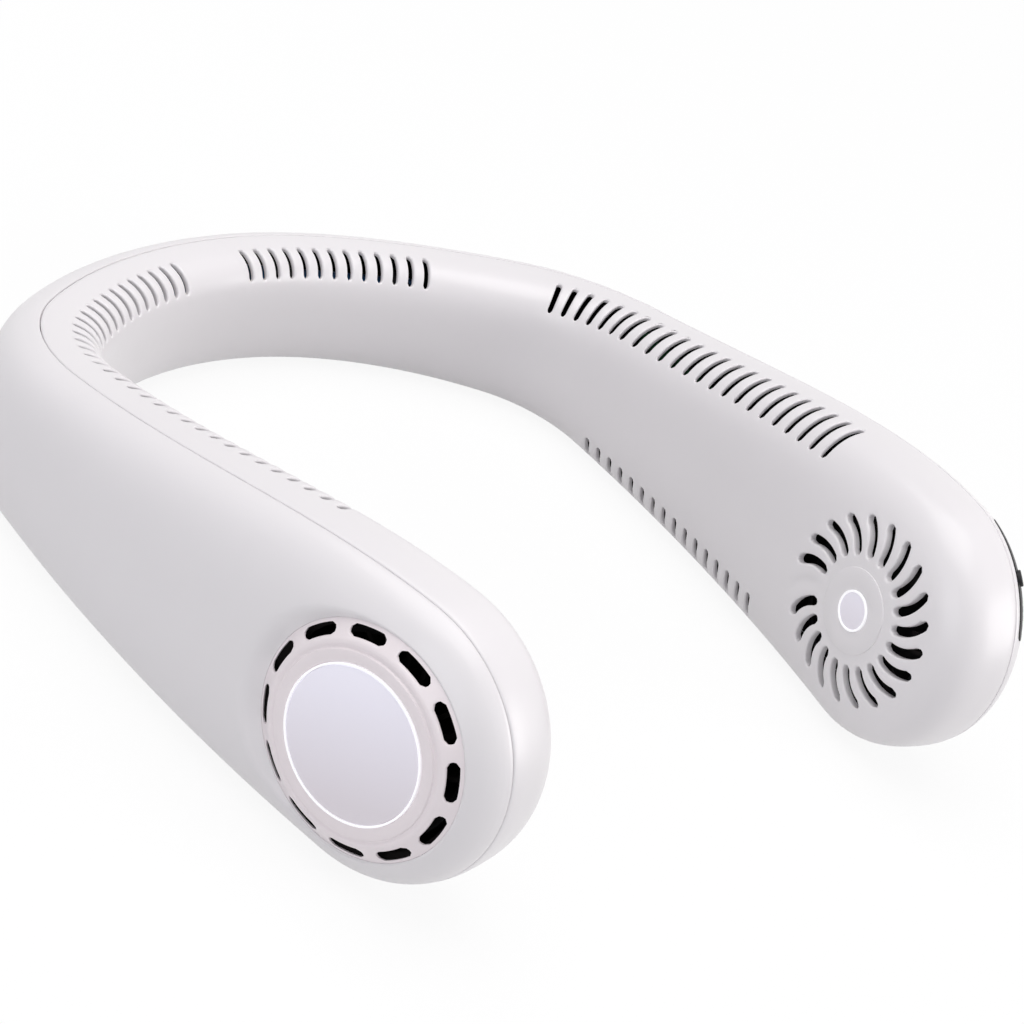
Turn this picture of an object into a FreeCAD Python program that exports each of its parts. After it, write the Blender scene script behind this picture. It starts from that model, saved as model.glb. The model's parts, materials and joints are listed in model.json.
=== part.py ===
# Neck fan: a rigid U-shaped band worn round the neck, with a blower in each round end.
# Right is +X, the wearer's front is -Y, up is +Z, and the band lies on the plane Z = 0.
import FreeCAD, Part
import math
import os

os.makedirs("parts", exist_ok=True)
Vector = FreeCAD.Vector

# Plan of the band: three tangent arcs from the back of the neck to the fan axis
back_arc_radius = 115.0
back_arc_angle = 37.7
shoulder_arc_radius = 40.0
shoulder_arc_angle = 49.0
arm_arc_radius = 398.0
arm_arc_angle = 15.2

# Section of the band, a rounded upright oblong that grows from the back to the fan ends
end_radius = 31.0
back_half_height = 15.2
end_half_thickness = 15.4
back_half_thickness = 10.6
section_power = 3.0
growth_power = 1.5
wall = 1.8
rest_flat = 0.4
seam_offset = 5.6
seam_gap = 0.3

# Sections in each arc of the plan, and points on each quarter of a section
back_steps = 6
shoulder_steps = 6
arm_steps = 9
curve_points = 8
end_steps = 4
saddle_steps = 2

# Clearances that many pieces share
cut_overrun = 5.0
fit_clearance = 0.1
running_clearance = 0.03
seat_clearance = 0.2

# Air outlets along the inner edges of the band
outlet_width = 1.5
outlet_pitch = 4.48
arm_outlet_start = 84.0
arm_outlet_count = 23
left_back_outlet_start = -79.3
left_back_outlet_count = 12
right_back_outlet_start = -6.0
right_back_outlet_count = 13
outlet_low_share = 0.85
outlet_high_share = 0.22
lower_outlet_skip = 7
lower_outlet_low_share = 0.9
lower_outlet_high_share = 0.655

# Snap tabs that hold the two shells together
tab_length = 5.0
tab_thickness = 1.2
tab_reach = 3.0
tab_root = 2.0
tab_clearance = 0.2
tab_place_shares = (0.10, 0.29, 0.54, 0.68, 0.82)

# Intake cover on the outer face of each end, measured from the fan axis
cover_radius = 24.0
cover_wall = 1.6
cover_drop = 0.6
cover_rim_drop = 2.9
cover_depth = 6.0
cone_top_radius = 20.4
cone_top_drop = 0.3
rim_inside_step = 1.0
hub_groove_radius = 18.8
hub_groove_width = 0.8
hub_groove_depth = 0.5
lug_reach = 1.3
lug_thickness = 1.6
lug_angle = 32.0
lug_count = 4
lug_first_angle = 80.0
collar_width = 4.0
dish_reach = 4.6
intake_count = 12
intake_radius = 22.1
intake_width = 2.2
intake_length = 8.3
intake_first_angle = 11.8

# Round plates set into the cover and into the inner face
plate_radius = 15.6
plate_recess = 0.6
plate_proud = 0.1
plate_ring_width = 0.5
plate_ring_proud = 0.25
grille_plate_radius = 4.2
grille_plate_recess = 0.5

# Swirl grille in the inner face of each end
grille_count = 21
grille_closed_angle = -104.0
grille_inner_radius = 12.6
grille_outer_radius = 22.2
grille_bend_radius = 9.2
grille_width = 2.3
grille_hub_radius = 10.0
grille_hub_proud = 0.15

# Motor and blower wheel, stacked on the fan axis
boss_count = 3
boss_circle = 8.0
boss_radius = 1.9
boss_height = 2.6
motor_base_radius = 10.4
motor_base_thickness = 1.2
motor_board_radius = 6.2
motor_board_thickness = 0.8
bearing_tube_radius = 3.0
bearing_tube_bore = 2.3
bearing_length = 3.0
shaft_radius = 1.0
shaft_end_gap = 0.6
stator_gap = 0.6
stator_height = 5.0
stator_hub_radius = 4.8
stator_radius = 8.4
tooth_count = 6
tooth_width = 2.0
tooth_shoe_depth = 1.0
tooth_shoe_width = 6.4
coil_build = 0.9
air_gap = 0.3
magnet_thickness = 1.4
magnet_height = 7.0
rotor_wall = 0.8
rotor_gap = 0.5
impeller_radius = 21.0
impeller_hub_wall = 1.2
impeller_plate_thickness = 1.0
impeller_gap = 1.0
blade_count = 26
blade_inner_radius = 15.0
blade_thickness = 0.9
blade_bend_radius = 9.0
blade_ring_width = 1.4
blade_ring_thickness = 0.9

# Small screws
screw_radius = 0.7
screw_head_radius = 1.4
screw_head_height = 0.9
screw_bite = 2.0

# Battery cells behind the neck and their foam saddles
cell_radius = 7.0
cell_length = 46.0
cell_nub_radius = 2.6
cell_nub_height = 1.0
cell_place = 26.5
cell_inward_shift = 1.2
saddle_length = 5.0
saddle_spread = 16.0
saddle_height = 18.0

# Main circuit board on the outer shell's posts, and the charging socket on it
board_place = 122.0
board_length = 34.0
board_height = 20.0
board_thickness = 1.2
board_post_height = 4.5
board_post_radius = 2.0
board_post_margin = 3.0
socket_width = 8.9
socket_height = 3.2
socket_shell = 0.3
socket_setback = 0.5
socket_tongue_width = 6.6
socket_tongue_height = 0.7
socket_clearance = 0.25

# Control strip on the right tip, its button, lights and small board
strip_first_angle = 6.0
strip_last_angle = 64.0
strip_low_share = 0.47
strip_high_share = 0.78
strip_thickness = 1.0
strip_proud = 0.1
button_angle = 36.0
button_share = 0.61
button_radius = 1.9
button_clearance = 0.3
button_proud = 0.6
button_flange_radius = 2.6
button_flange_thickness = 0.6
button_flange_gap = 0.6
button_foot = 0.4
button_travel = 0.5
button_stop_gap = 0.1
switch_width = 3.5
switch_height = 1.3
switch_plunger_radius = 0.9
switch_plunger_height = 0.6
switch_board_length = 13.0
switch_board_width = 4.6
switch_board_thickness = 0.8
switch_post_radius = 0.9
switch_post_margin = 1.2
light_count = 4
light_radius = 0.5
light_first_angle = 48.0
light_step_angle = 4.0

# Wiring that lies on the floor of the band between the two motors
wire_radius = 0.9
wire_end_place = 158.0
plug_length = 8.0
plug_width = 5.0
plug_height = 4.0

plan_arcs = (
    (back_arc_radius, back_arc_angle, back_steps),
    (shoulder_arc_radius, shoulder_arc_angle, shoulder_steps),
    (arm_arc_radius, arm_arc_angle, arm_steps),
)


def plan_station(length):
    """Offsets from the back of the band, and the angle turned, at a distance along the right half."""
    across = 0.0
    along = 0.0
    turned = 0.0
    left_over = length
    for radius, angle, steps in plan_arcs:
        span = min(left_over, radius * math.radians(angle))
        turn = span / radius
        across += radius * (math.sin(turned + turn) - math.sin(turned))
        along += radius * (math.cos(turned + turn) - math.cos(turned))
        turned += turn
        left_over -= span
    return across, along, turned


half_length = sum(radius * math.radians(angle) for radius, angle, steps in plan_arcs)
fan_across, fan_along, fan_turn = plan_station(half_length)
toe_in = fan_turn - math.pi / 2

# The round tip reaches this far forward of the fan axis, by the section's own power
dual_power = section_power / (section_power - 1)
tip_reach = (
    (end_half_thickness * math.sin(toe_in)) ** dual_power + (end_radius * math.cos(toe_in)) ** dual_power
) ** (1 / dual_power)
overall_depth = back_half_thickness - fan_along + tip_reach
back_y = overall_depth / 2 - back_half_thickness
fan_centre = Vector(fan_across, back_y + fan_along, end_radius - rest_flat)
fan_axis = Vector(math.sin(fan_turn), math.cos(fan_turn), 0)
mirror_origin = Vector(0, 0, 0)
mirror_normal = Vector(1, 0, 0)


def ease(share):
    return share * share * (3 - 2 * share)


def half_height(length):
    share = (abs(length) / half_length) ** growth_power
    return back_half_height + (end_radius - back_half_height) * ease(share)


def half_thickness(length):
    growth = end_half_thickness - back_half_thickness
    return back_half_thickness + growth * ease(abs(length) / half_length)


def seam_place(length):
    return seam_offset * half_thickness(length) / end_half_thickness


def direction(length, forward, out, up):
    """A direction at a signed distance along the band: towards the right tip, outward and up."""
    across, along, turned = plan_station(abs(length))
    side = -1 if length < 0 else 1
    east = side * out * math.sin(turned) + forward * math.cos(turned)
    north = out * math.cos(turned) - side * forward * math.sin(turned)
    return Vector(east, north, up)


def place(length, out, up):
    """A point of the section at a signed distance along the band, from the section's middle."""
    across, along, turned = plan_station(abs(length))
    side = -1 if length < 0 else 1
    middle = Vector(side * across, back_y + along, half_height(length) - rest_flat)
    return middle + direction(length, 0, out, up)


def rise(out, thick, tall):
    """Height of the rounded section's edge above its middle."""
    return tall * (1 - (abs(out) / thick) ** section_power) ** (1 / section_power)


def rounded_points(thick, tall, start, toward):
    """Points from a place on the section's top round to its outer side (1) or inner side (-1)."""
    first_turn = math.atan2(rise(start, thick, tall) / tall, start / thick)
    last_turn = 0 if toward > 0 else math.pi
    points = []
    for step in range(curve_points + 1):
        turn = first_turn + (last_turn - first_turn) * step / curve_points
        aside = math.cos(turn)
        above = math.sin(turn)
        size = (abs(aside) ** section_power + abs(above) ** section_power) ** (1 / section_power)
        points.append((thick * aside / size, tall * above / size))
    return points


def rounded_edge(length, inset, start, toward, upper):
    """Quarter of the section as one smooth edge, from its top or its bottom round to one side."""
    thick = half_thickness(length) - inset
    tall = half_height(length) - inset
    points = rounded_points(thick, tall, start, toward)
    lean = math.copysign(abs(start / thick) ** (section_power - 1), start) / thick
    level = (rise(start, thick, tall) / tall) ** (section_power - 1) / tall
    curve = Part.BSplineCurve()
    curve.interpolate(
        Points=[place(length, out, up) for out, up in points],
        Parameters=[step / curve_points for step in range(curve_points + 1)],
        InitialTangent=direction(length, 0, toward * level, -toward * lean),
        FinalTangent=direction(length, 0, 0, -1),
    )
    edge = curve.toShape()
    return edge if upper else edge.mirror(place(length, 0, 0), Vector(0, 0, 1))


def line(length, first, last):
    return Part.makeLine(place(length, *first), place(length, *last))


def shell_section(length, toward):
    """Closed section of the outer shell (1) or inner shell (-1)."""
    start = seam_place(length) + toward * seam_gap / 2
    skin_top = rise(start, half_thickness(length), half_height(length))
    inside_top = rise(start, half_thickness(length) - wall, half_height(length) - wall)
    return Part.Wire([
        rounded_edge(length, 0, start, toward, True),
        rounded_edge(length, 0, start, toward, False),
        line(length, (start, -skin_top), (start, -inside_top)),
        rounded_edge(length, wall, start, toward, False),
        rounded_edge(length, wall, start, toward, True),
        line(length, (start, inside_top), (start, skin_top)),
    ])


def shell_cap(toward):
    """Half-round end of a shell: its upper half section turned about the fan axis."""
    start = seam_place(half_length) + toward * seam_gap / 2
    skin_top = rise(start, end_half_thickness, end_radius)
    inside_top = rise(start, end_half_thickness - wall, end_radius - wall)
    side = toward * end_half_thickness
    inside = toward * (end_half_thickness - wall)
    profile = Part.Wire([
        rounded_edge(half_length, 0, start, toward, True),
        line(half_length, (side, 0), (inside, 0)),
        rounded_edge(half_length, wall, start, toward, True),
        line(half_length, (start, inside_top), (start, skin_top)),
    ])
    return Part.Face(profile).revolve(fan_centre, fan_axis, 180)


def band_lengths():
    """Signed distances of all the sections, from the left fan axis to the right one."""
    lengths = [0.0]
    reached = 0.0
    for radius, angle, steps in plan_arcs:
        span = radius * math.radians(angle)
        lengths += [reached + span * (step + 1) / steps for step in range(steps)]
        reached += span
    return [-length for length in reversed(lengths[1:])] + lengths


def mirrored(shape):
    return shape.mirror(mirror_origin, mirror_normal)


def right_and_left(shape):
    return [shape, mirrored(shape)]


def full_section(length, inset):
    return Part.Wire([
        rounded_edge(length, inset, 0, 1, True),
        rounded_edge(length, inset, 0, 1, False),
        rounded_edge(length, inset, 0, -1, False),
        rounded_edge(length, inset, 0, -1, True),
    ])


def filled_band(first, last, inset, steps):
    """Solid stretch of the band, set in from its skin."""
    lengths = [first + (last - first) * step / steps for step in range(steps + 1)]
    return Part.makeLoft([full_section(length, inset) for length in lengths], True, False)


def filled_end(inset, steps):
    """Solid right end of the band, set in from its skin, a fan diameter long."""
    loft = filled_band(half_length - end_radius, half_length, inset, steps)
    profile = Part.Wire([
        rounded_edge(half_length, inset, 0, 1, True),
        line(half_length, (end_half_thickness - inset, 0), (inset - end_half_thickness, 0)),
        rounded_edge(half_length, inset, 0, -1, True),
    ])
    return loft.fuse(Part.Face(profile).revolve(fan_centre, fan_axis, 180))


def to_fan(shape):
    """Carry a shape from the fan's own frame, with X up, Y to the tip and Z outward, to the right end."""
    moved = shape.copy()
    up = Vector(0, 0, 1)
    tip = fan_axis.cross(up)
    matrix = FreeCAD.Matrix(
        up.x, tip.x, fan_axis.x, fan_centre.x,
        up.y, tip.y, fan_axis.y, fan_centre.y,
        up.z, tip.z, fan_axis.z, fan_centre.z,
        0, 0, 0, 1,
    )
    moved.transformShape(matrix, True)
    return moved


def turned_solid(points):
    """Solid of revolution about the fan axis, from radius and height pairs."""
    outline = Part.makePolygon([Vector(radius, 0, height) for radius, height in points + points[:1]])
    return Part.Face(outline).revolve(Vector(0, 0, 0), Vector(0, 0, 1), 360)


def drum(radius, low, high, bore=0):
    """Cylinder on the fan axis, with a bore if it has one."""
    solid = Part.makeCylinder(radius, high - low, Vector(0, 0, low))
    if bore:
        solid = solid.cut(Part.makeCylinder(bore, high - low, Vector(0, 0, low)))
    return solid


def spun(shape, angle):
    copy = shape.copy()
    copy.rotate(Vector(0, 0, 0), Vector(0, 0, 1), angle)
    return copy


def bent_bar(inner, outer, bend, width, low, high):
    """Bar that leaves the fan axis square to it and bends back, with round ends."""
    reach = 2 * inner * bend
    spread = 2 * bend * bend
    target = outer * outer - inner * inner - spread
    sweep = math.atan2(spread, reach) + math.asin(target / math.hypot(reach, spread))
    middle = Vector(inner, -bend, low)

    def on_arc(radius, angle):
        return middle + Vector(radius * math.sin(angle), radius * math.cos(angle), 0)

    wide = bend + width / 2
    narrow = bend - width / 2
    start_round = Vector(inner - width / 2, 0, low)
    end_heading = Vector(math.cos(sweep), -math.sin(sweep), 0)
    end_round = on_arc(bend, sweep) + end_heading * (width / 2)
    edges = [
        Part.Arc(on_arc(wide, 0), on_arc(wide, sweep / 2), on_arc(wide, sweep)),
        Part.Arc(on_arc(wide, sweep), end_round, on_arc(narrow, sweep)),
        Part.Arc(on_arc(narrow, sweep), on_arc(narrow, sweep / 2), on_arc(narrow, 0)),
        Part.Arc(on_arc(narrow, 0), start_round, on_arc(wide, 0)),
    ]
    return Part.Face(Part.Wire([edge.toShape() for edge in edges])).extrude(Vector(0, 0, high - low))


def arc_slot(radius, width, length, low, high):
    """Slot along a circle about the fan axis, with round ends."""
    half_turn = length / radius / 2
    wide = radius + width / 2
    narrow = radius - width / 2

    def on_circle(distance, angle):
        return Vector(distance * math.cos(angle), distance * math.sin(angle), low)

    edges = []
    for turn in (half_turn, -half_turn):
        past = Vector(-math.sin(turn), math.cos(turn), 0) * math.copysign(width / 2, turn)
        end = on_circle(radius, turn) + past
        edges.append(Part.Arc(on_circle(wide, turn), end, on_circle(narrow, turn)))
    for side in (wide, narrow):
        edges.append(Part.Arc(on_circle(side, -half_turn), on_circle(side, 0), on_circle(side, half_turn)))
    outline = Part.Wire(Part.__sortEdges__([edge.toShape() for edge in edges]))
    return Part.Face(outline).extrude(Vector(0, 0, high - low))


def stadium(centre, long_way, short_way, length, width, depth):
    """Round-ended slot cutter, reaching depth to both sides of its centre plane."""
    through = long_way.cross(short_way)
    half = long_way * (length / 2 - width / 2)
    side = short_way * (width / 2)
    back = centre - through * depth
    edges = [
        Part.makeLine(back - half + side, back + half + side),
        Part.Arc(back + half + side, back + half + long_way * (width / 2), back + half - side).toShape(),
        Part.makeLine(back + half - side, back - half - side),
        Part.Arc(back - half - side, back - half - long_way * (width / 2), back - half + side).toShape(),
    ]
    return Part.Face(Part.Wire(edges)).extrude(through * (2 * depth))


def band_shell(toward):
    """Whole outer shell (1) or inner shell (-1), with a round hole on each fan axis."""
    low, high = sorted((0, toward * (end_half_thickness + cut_overrun)))
    hole = to_fan(drum(grille_hub_radius, low, high))
    loft = Part.makeLoft([shell_section(length, toward) for length in band_lengths()], True, False)
    cap = shell_cap(toward).cut(hole)
    return loft.cut(right_and_left(hole)).fuse(right_and_left(cap))


# Heights on the fan axis, outward from the middle of the end
cover_top = end_half_thickness - cover_drop
cover_rim = end_half_thickness - cover_rim_drop
cover_inside = cover_top - cover_wall
collar_face = end_half_thickness - cover_depth
opening_radius = cover_radius + fit_clearance
grille_face = end_half_thickness + grille_hub_proud
base_top = cover_inside - boss_height
base_bottom = base_top - motor_base_thickness
motor_board_bottom = base_bottom - motor_board_thickness
stator_top = motor_board_bottom - stator_gap - coil_build
stator_bottom = stator_top - stator_height
rotor_rim = motor_board_bottom - rotor_gap
rotor_inside = stator_bottom - coil_build - rotor_gap
rotor_bottom = rotor_inside - rotor_wall
magnet_bore = stator_radius + air_gap
magnet_radius = magnet_bore + magnet_thickness
rotor_radius = magnet_radius + fit_clearance + rotor_wall
shaft_top = base_top - shaft_end_gap
impeller_bore = rotor_radius + fit_clearance
impeller_hub_radius = impeller_bore + impeller_hub_wall
impeller_nose = rotor_bottom - impeller_hub_wall
blade_top = collar_face - lug_thickness - impeller_gap
blade_bottom = impeller_gap - rise(impeller_radius, end_radius - wall, end_half_thickness - wall)
ring_radius = plate_radius + fit_clearance + plate_ring_width
recess_radius = ring_radius + fit_clearance
grille_ring_radius = grille_plate_radius + fit_clearance + plate_ring_width
grille_recess_radius = grille_ring_radius + fit_clearance


def grille_cutters():
    """The swirl slots of one inner face, with one place left closed."""
    inner = grille_inner_radius + grille_width / 2
    outer = grille_outer_radius - grille_width / 2
    low = -end_half_thickness - cut_overrun
    bar = bent_bar(inner, outer, grille_bend_radius, grille_width, low, blade_bottom)
    step = 360.0 / grille_count
    closed = round(grille_closed_angle / step) % grille_count
    return [spun(bar, index * step) for index in range(grille_count) if index != closed]


def outlet_cutter(length, upper):
    """One air outlet across the rounded inner edge, at the top or the bottom of the band."""
    thick = half_thickness(length)
    tall = half_height(length)
    low_share = outlet_low_share if upper else lower_outlet_low_share
    high_share = outlet_high_share if upper else lower_outlet_high_share
    low = Vector(-low_share * thick, rise(low_share * thick, thick, tall), 0)
    high = Vector(-high_share * thick, rise(high_share * thick, thick, tall), 0)
    chord = high - low
    middle = (low + high) / 2
    flip = 1 if upper else -1
    long_way = direction(length, 0, chord.x, flip * chord.y)
    long_way.normalize()
    centre = place(length, middle.x, flip * middle.y)
    return stadium(centre, long_way, direction(length, 1, 0, 0), chord.Length, outlet_width, cut_overrun)


def outlet_cutters():
    cutters = []
    for index in range(arm_outlet_count):
        length = arm_outlet_start + index * outlet_pitch
        for side in (-1, 1):
            cutters.append(outlet_cutter(side * length, True))
            if index >= lower_outlet_skip:
                cutters.append(outlet_cutter(side * length, False))
    for index in range(left_back_outlet_count):
        cutters.append(outlet_cutter(left_back_outlet_start + index * outlet_pitch, True))
    for index in range(right_back_outlet_count):
        cutters.append(outlet_cutter(right_back_outlet_start + index * outlet_pitch, True))
    return cutters


def block(length, forward, out, up):
    """Box in the section's frame, from ranges along the band, outward and up."""
    corner = place(length, out[0], up[0]) + direction(length, forward[0], 0, 0)
    ahead = direction(length, forward[1] - forward[0], 0, 0)
    aside = direction(length, 0, out[1] - out[0], 0)
    base = [corner, corner + ahead, corner + ahead + aside, corner + aside, corner]
    return Part.Face(Part.makePolygon(base)).extrude(Vector(0, 0, up[1] - up[0]))


def lowest_edge(length, out, flip):
    """Least height of the inside wall along one snap tab, at the top (1) or the bottom (-1)."""
    heights = []
    for along in (length - tab_length / 2, length, length + tab_length / 2):
        edge = rise(out, half_thickness(along) - wall, half_height(along) - wall)
        heights.append(edge + flip * (half_height(along) - half_height(length)))
    return min(heights)


def snap_tab(length, upper):
    """Tongue of the inner shell that slips under the outer shell's edge."""
    seam = seam_place(length)
    flip = 1 if upper else -1
    ahead = (-tab_length / 2, tab_length / 2)
    top = lowest_edge(length, seam + tab_reach, flip) - tab_clearance
    root_top = lowest_edge(length, seam, flip) + wall / 2
    tongue_up = sorted((flip * (top - tab_thickness), flip * top))
    root_up = sorted((flip * (top - tab_thickness), flip * root_top))
    tongue = block(length, ahead, (seam - tab_root, seam + tab_reach), tongue_up)
    root = block(length, ahead, (seam - tab_root, seam - seam_gap), root_up)
    return tongue.fuse(root)


def floor_cutter():
    """Everything below the plane that the band lies on."""
    size = 2 * (half_length + end_radius)
    return Part.makeBox(size, size, cut_overrun, Vector(-size / 2, -size / 2, -cut_overrun))


def inner_shell():
    shell = band_shell(-1)
    tabs = []
    for share in tab_place_shares:
        for side in (-1, 1):
            tabs += [snap_tab(side * share * half_length, upper) for upper in (True, False)]
    hub = to_fan(drum(grille_hub_radius, -grille_face, wall - end_half_thickness))
    shell = shell.fuse(right_and_left(hub) + tabs)
    recess = drum(grille_recess_radius, -grille_face, grille_plate_recess - grille_face)
    right = [to_fan(cutter) for cutter in grille_cutters() + [recess]]
    left = [mirrored(cutter) for cutter in right]
    return shell.cut(right + left + outlet_cutters() + [floor_cutter()])


def strip_solid(outer_inset, inner_inset, widen):
    """Curved strip on the rounded edge of the right tip, between two depths below the skin."""
    shares = (strip_low_share, button_share, strip_high_share)
    margins = (-widen, 0, widen)
    curves = []
    for inset in (outer_inset, inner_inset):
        thick = end_half_thickness - inset
        outs = [share * thick + margin for share, margin in zip(shares, margins)]
        points = [Vector(rise(out, thick, end_radius - inset), 0, out) for out in outs]
        curves.append(Part.Arc(*points).toShape())
    ends = [
        Part.makeLine(curves[0].Vertexes[index].Point, curves[1].Vertexes[index].Point)
        for index in (0, 1)
    ]
    profile = Part.Face(Part.Wire(Part.__sortEdges__(curves + ends)))
    more = math.degrees(widen / end_radius)
    first = strip_first_angle - more
    turned = spun(profile, first)
    return turned.revolve(Vector(0, 0, 0), Vector(0, 0, 1), strip_last_angle + more - first)


def strip_place(angle):
    """Point on the skin of the right tip at the button's height, with the way out of the skin there."""
    out = button_share * end_half_thickness
    radius = rise(out, end_half_thickness, end_radius)
    lean = button_share ** (section_power - 1) / end_half_thickness
    level = (radius / end_radius) ** (section_power - 1) / end_radius
    size = math.hypot(lean, level)
    turn = math.radians(angle)
    point = Vector(radius * math.cos(turn), radius * math.sin(turn), out)
    way = Vector(level * math.cos(turn), level * math.sin(turn), lean) / size
    return point, way


def peg(angle, radius, deep, high, aside=0):
    """Round peg square to the skin of the right tip, between a depth and a height, moved round the tip."""
    point, way = strip_place(angle)
    turn = math.radians(angle)
    moved = point + Vector(-math.sin(turn), math.cos(turn), 0) * aside
    return Part.makeCylinder(radius, high + deep, moved - way * deep, way)


def slab(angle, length, width, deep, high):
    """Flat block square to the skin of the right tip, its length round the tip."""
    point, way = strip_place(angle)
    turn = math.radians(angle)
    aside = Vector(-math.sin(turn), math.cos(turn), 0)
    across = way.cross(aside) * width
    aside = aside * length
    corner = point - way * deep - aside / 2 - across / 2
    base = [corner, corner + aside, corner + aside + across, corner + across, corner]
    return Part.Face(Part.makePolygon(base)).extrude(way * (high + deep))


# Depths under the skin at the button, from its foot to the small board
strip_recess = strip_thickness - strip_proud + fit_clearance
flange_top_depth = wall + button_flange_gap
button_depth = flange_top_depth + button_flange_thickness + button_foot
plunger_depth = button_depth + button_travel + button_stop_gap
switch_depth = plunger_depth + switch_plunger_height
switch_board_depth = switch_depth + switch_height
light_angles = [light_first_angle + index * light_step_angle for index in range(light_count)]
light_depth = wall + light_radius


def switch_posts():
    aside = switch_board_length / 2 - switch_post_margin
    sag = aside * aside / (2 * end_radius)
    top = sag + (strip_recess + wall) / 2
    offsets = (-aside, aside)
    return [peg(button_angle, switch_post_radius, switch_board_depth, -top, offset) for offset in offsets]


def control_strip():
    strip = strip_solid(-strip_proud, strip_thickness - strip_proud, 0)
    holes = [peg(button_angle, button_radius + button_clearance, cut_overrun, cut_overrun)]
    holes += [peg(angle, light_radius + fit_clearance, cut_overrun, cut_overrun) for angle in light_angles]
    return strip.cut(holes)


def power_button():
    stem = peg(button_angle, button_radius, button_depth, button_proud)
    flange_bottom_depth = flange_top_depth + button_flange_thickness
    return stem.fuse(peg(button_angle, button_flange_radius, flange_bottom_depth, -flange_top_depth))


def tact_switch():
    body = slab(button_angle, switch_width, switch_width, switch_board_depth, -switch_depth)
    return body.fuse(peg(button_angle, switch_plunger_radius, switch_depth, -plunger_depth))


def switch_board():
    bottom = switch_board_depth + switch_board_thickness
    return slab(button_angle, switch_board_length, switch_board_width, bottom, -switch_board_depth)


def indicator_lights():
    return Part.makeCompound([peg(angle, light_radius, light_depth, strip_proud) for angle in light_angles])


# Main board, outward from the middle of the band at its place
board_out = half_thickness(board_place) - wall - board_post_height
board_in = board_out - board_thickness


def board_corners():
    ahead = board_length / 2 - board_post_margin
    above = board_height / 2 - board_post_margin
    return [(x, z) for x in (-ahead, ahead) for z in (-above, above)]


def board_peg(ahead, above, radius, low, high):
    """Round peg square to the main board, between two distances from the band's middle."""
    start = place(board_place, low, above) + direction(board_place, ahead, 0, 0)
    return Part.makeCylinder(radius, high - low, start, direction(board_place, 0, 1, 0))


def board_posts():
    thick = half_thickness(board_place) - wall / 2
    tall = half_height(board_place) - wall / 2
    return [board_peg(x, z, board_post_radius, board_out, rise(z, tall, thick)) for x, z in board_corners()]


def board_holes():
    bore = screw_radius + fit_clearance
    deep = board_out + screw_bite + fit_clearance
    return [board_peg(x, z, bore, board_in, deep) for x, z in board_corners()]


def main_board():
    half_long = board_length / 2
    half_high = board_height / 2
    plate = block(board_place, (-half_long, half_long), (board_in, board_out), (-half_high, half_high))
    return plate.cut(board_holes())


def board_screws():
    screws = []
    for ahead, above in board_corners():
        shank = board_peg(ahead, above, screw_radius, board_in, board_out + screw_bite)
        head = board_peg(ahead, above, screw_head_radius, board_in - screw_head_height, board_in)
        screws.append(shank.fuse(head))
    return Part.makeCompound(screws)


def socket_prism(width, height, low, high):
    """Round-ended prism square to the main board, between two distances from the band's middle."""
    ahead = direction(board_place, 1, 0, 0)
    centre = place(board_place, (low + high) / 2, 0)
    return stadium(centre, ahead, Vector(0, 0, 1), width, height, (high - low) / 2)


def charging_socket():
    mouth = half_thickness(board_place) - socket_setback
    body = socket_prism(socket_width, socket_height, board_out, mouth)
    inside_width = socket_width - 2 * socket_shell
    inside_height = socket_height - 2 * socket_shell
    floor = board_out + board_thickness
    hollow = body.cut(socket_prism(inside_width, inside_height, floor, mouth))
    tongue_end = mouth - socket_setback
    half_wide = socket_tongue_width / 2
    half_high = socket_tongue_height / 2
    tongue = block(board_place, (-half_wide, half_wide), (floor, tongue_end), (-half_high, half_high))
    return hollow.fuse(tongue)


def socket_opening():
    wide = socket_width + 2 * socket_clearance
    high = socket_height + 2 * socket_clearance
    inside = half_thickness(board_place) - wall - socket_clearance
    return socket_prism(wide, high, inside, half_thickness(board_place) + cut_overrun)


def outer_shell():
    shell = band_shell(1)
    ring = drum(opening_radius + collar_width, collar_face, end_half_thickness, opening_radius)
    collar = to_fan(ring).common(filled_end(wall / 2, end_steps))
    shell = shell.fuse(right_and_left(collar) + board_posts() + [to_fan(post) for post in switch_posts()])
    opening = drum(opening_radius, collar_face - cut_overrun, cover_rim)
    dish = Part.makeCone(
        opening_radius, opening_radius + 2 * dish_reach, 2 * cover_rim_drop, Vector(0, 0, cover_rim)
    )
    cutters = [to_fan(opening), to_fan(dish)]
    cutters += [mirrored(cutter) for cutter in cutters]
    cutters.append(to_fan(strip_solid(-cut_overrun, strip_recess, fit_clearance)))
    cutters.append(to_fan(peg(button_angle, button_radius + button_clearance, flange_top_depth, 0)))
    pocket_depth = flange_top_depth - button_clearance
    pocket = peg(button_angle, button_flange_radius + button_clearance, switch_board_depth, -pocket_depth)
    cutters.append(to_fan(pocket))
    cutters += [to_fan(peg(angle, light_radius + fit_clearance, cut_overrun, 0)) for angle in light_angles]
    cutters += board_holes()
    cutters += [socket_opening(), floor_cutter()]
    return shell.cut(cutters)


def around(count, shape, first_angle=0):
    """Copies of a shape spread evenly round the fan axis."""
    return [spun(shape, first_angle + index * 360.0 / count) for index in range(count)]


def off_axis(radius, low, high):
    """Cylinder on the circle of the motor's screws."""
    return Part.makeCylinder(radius, high - low, Vector(boss_circle, 0, low))


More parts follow.
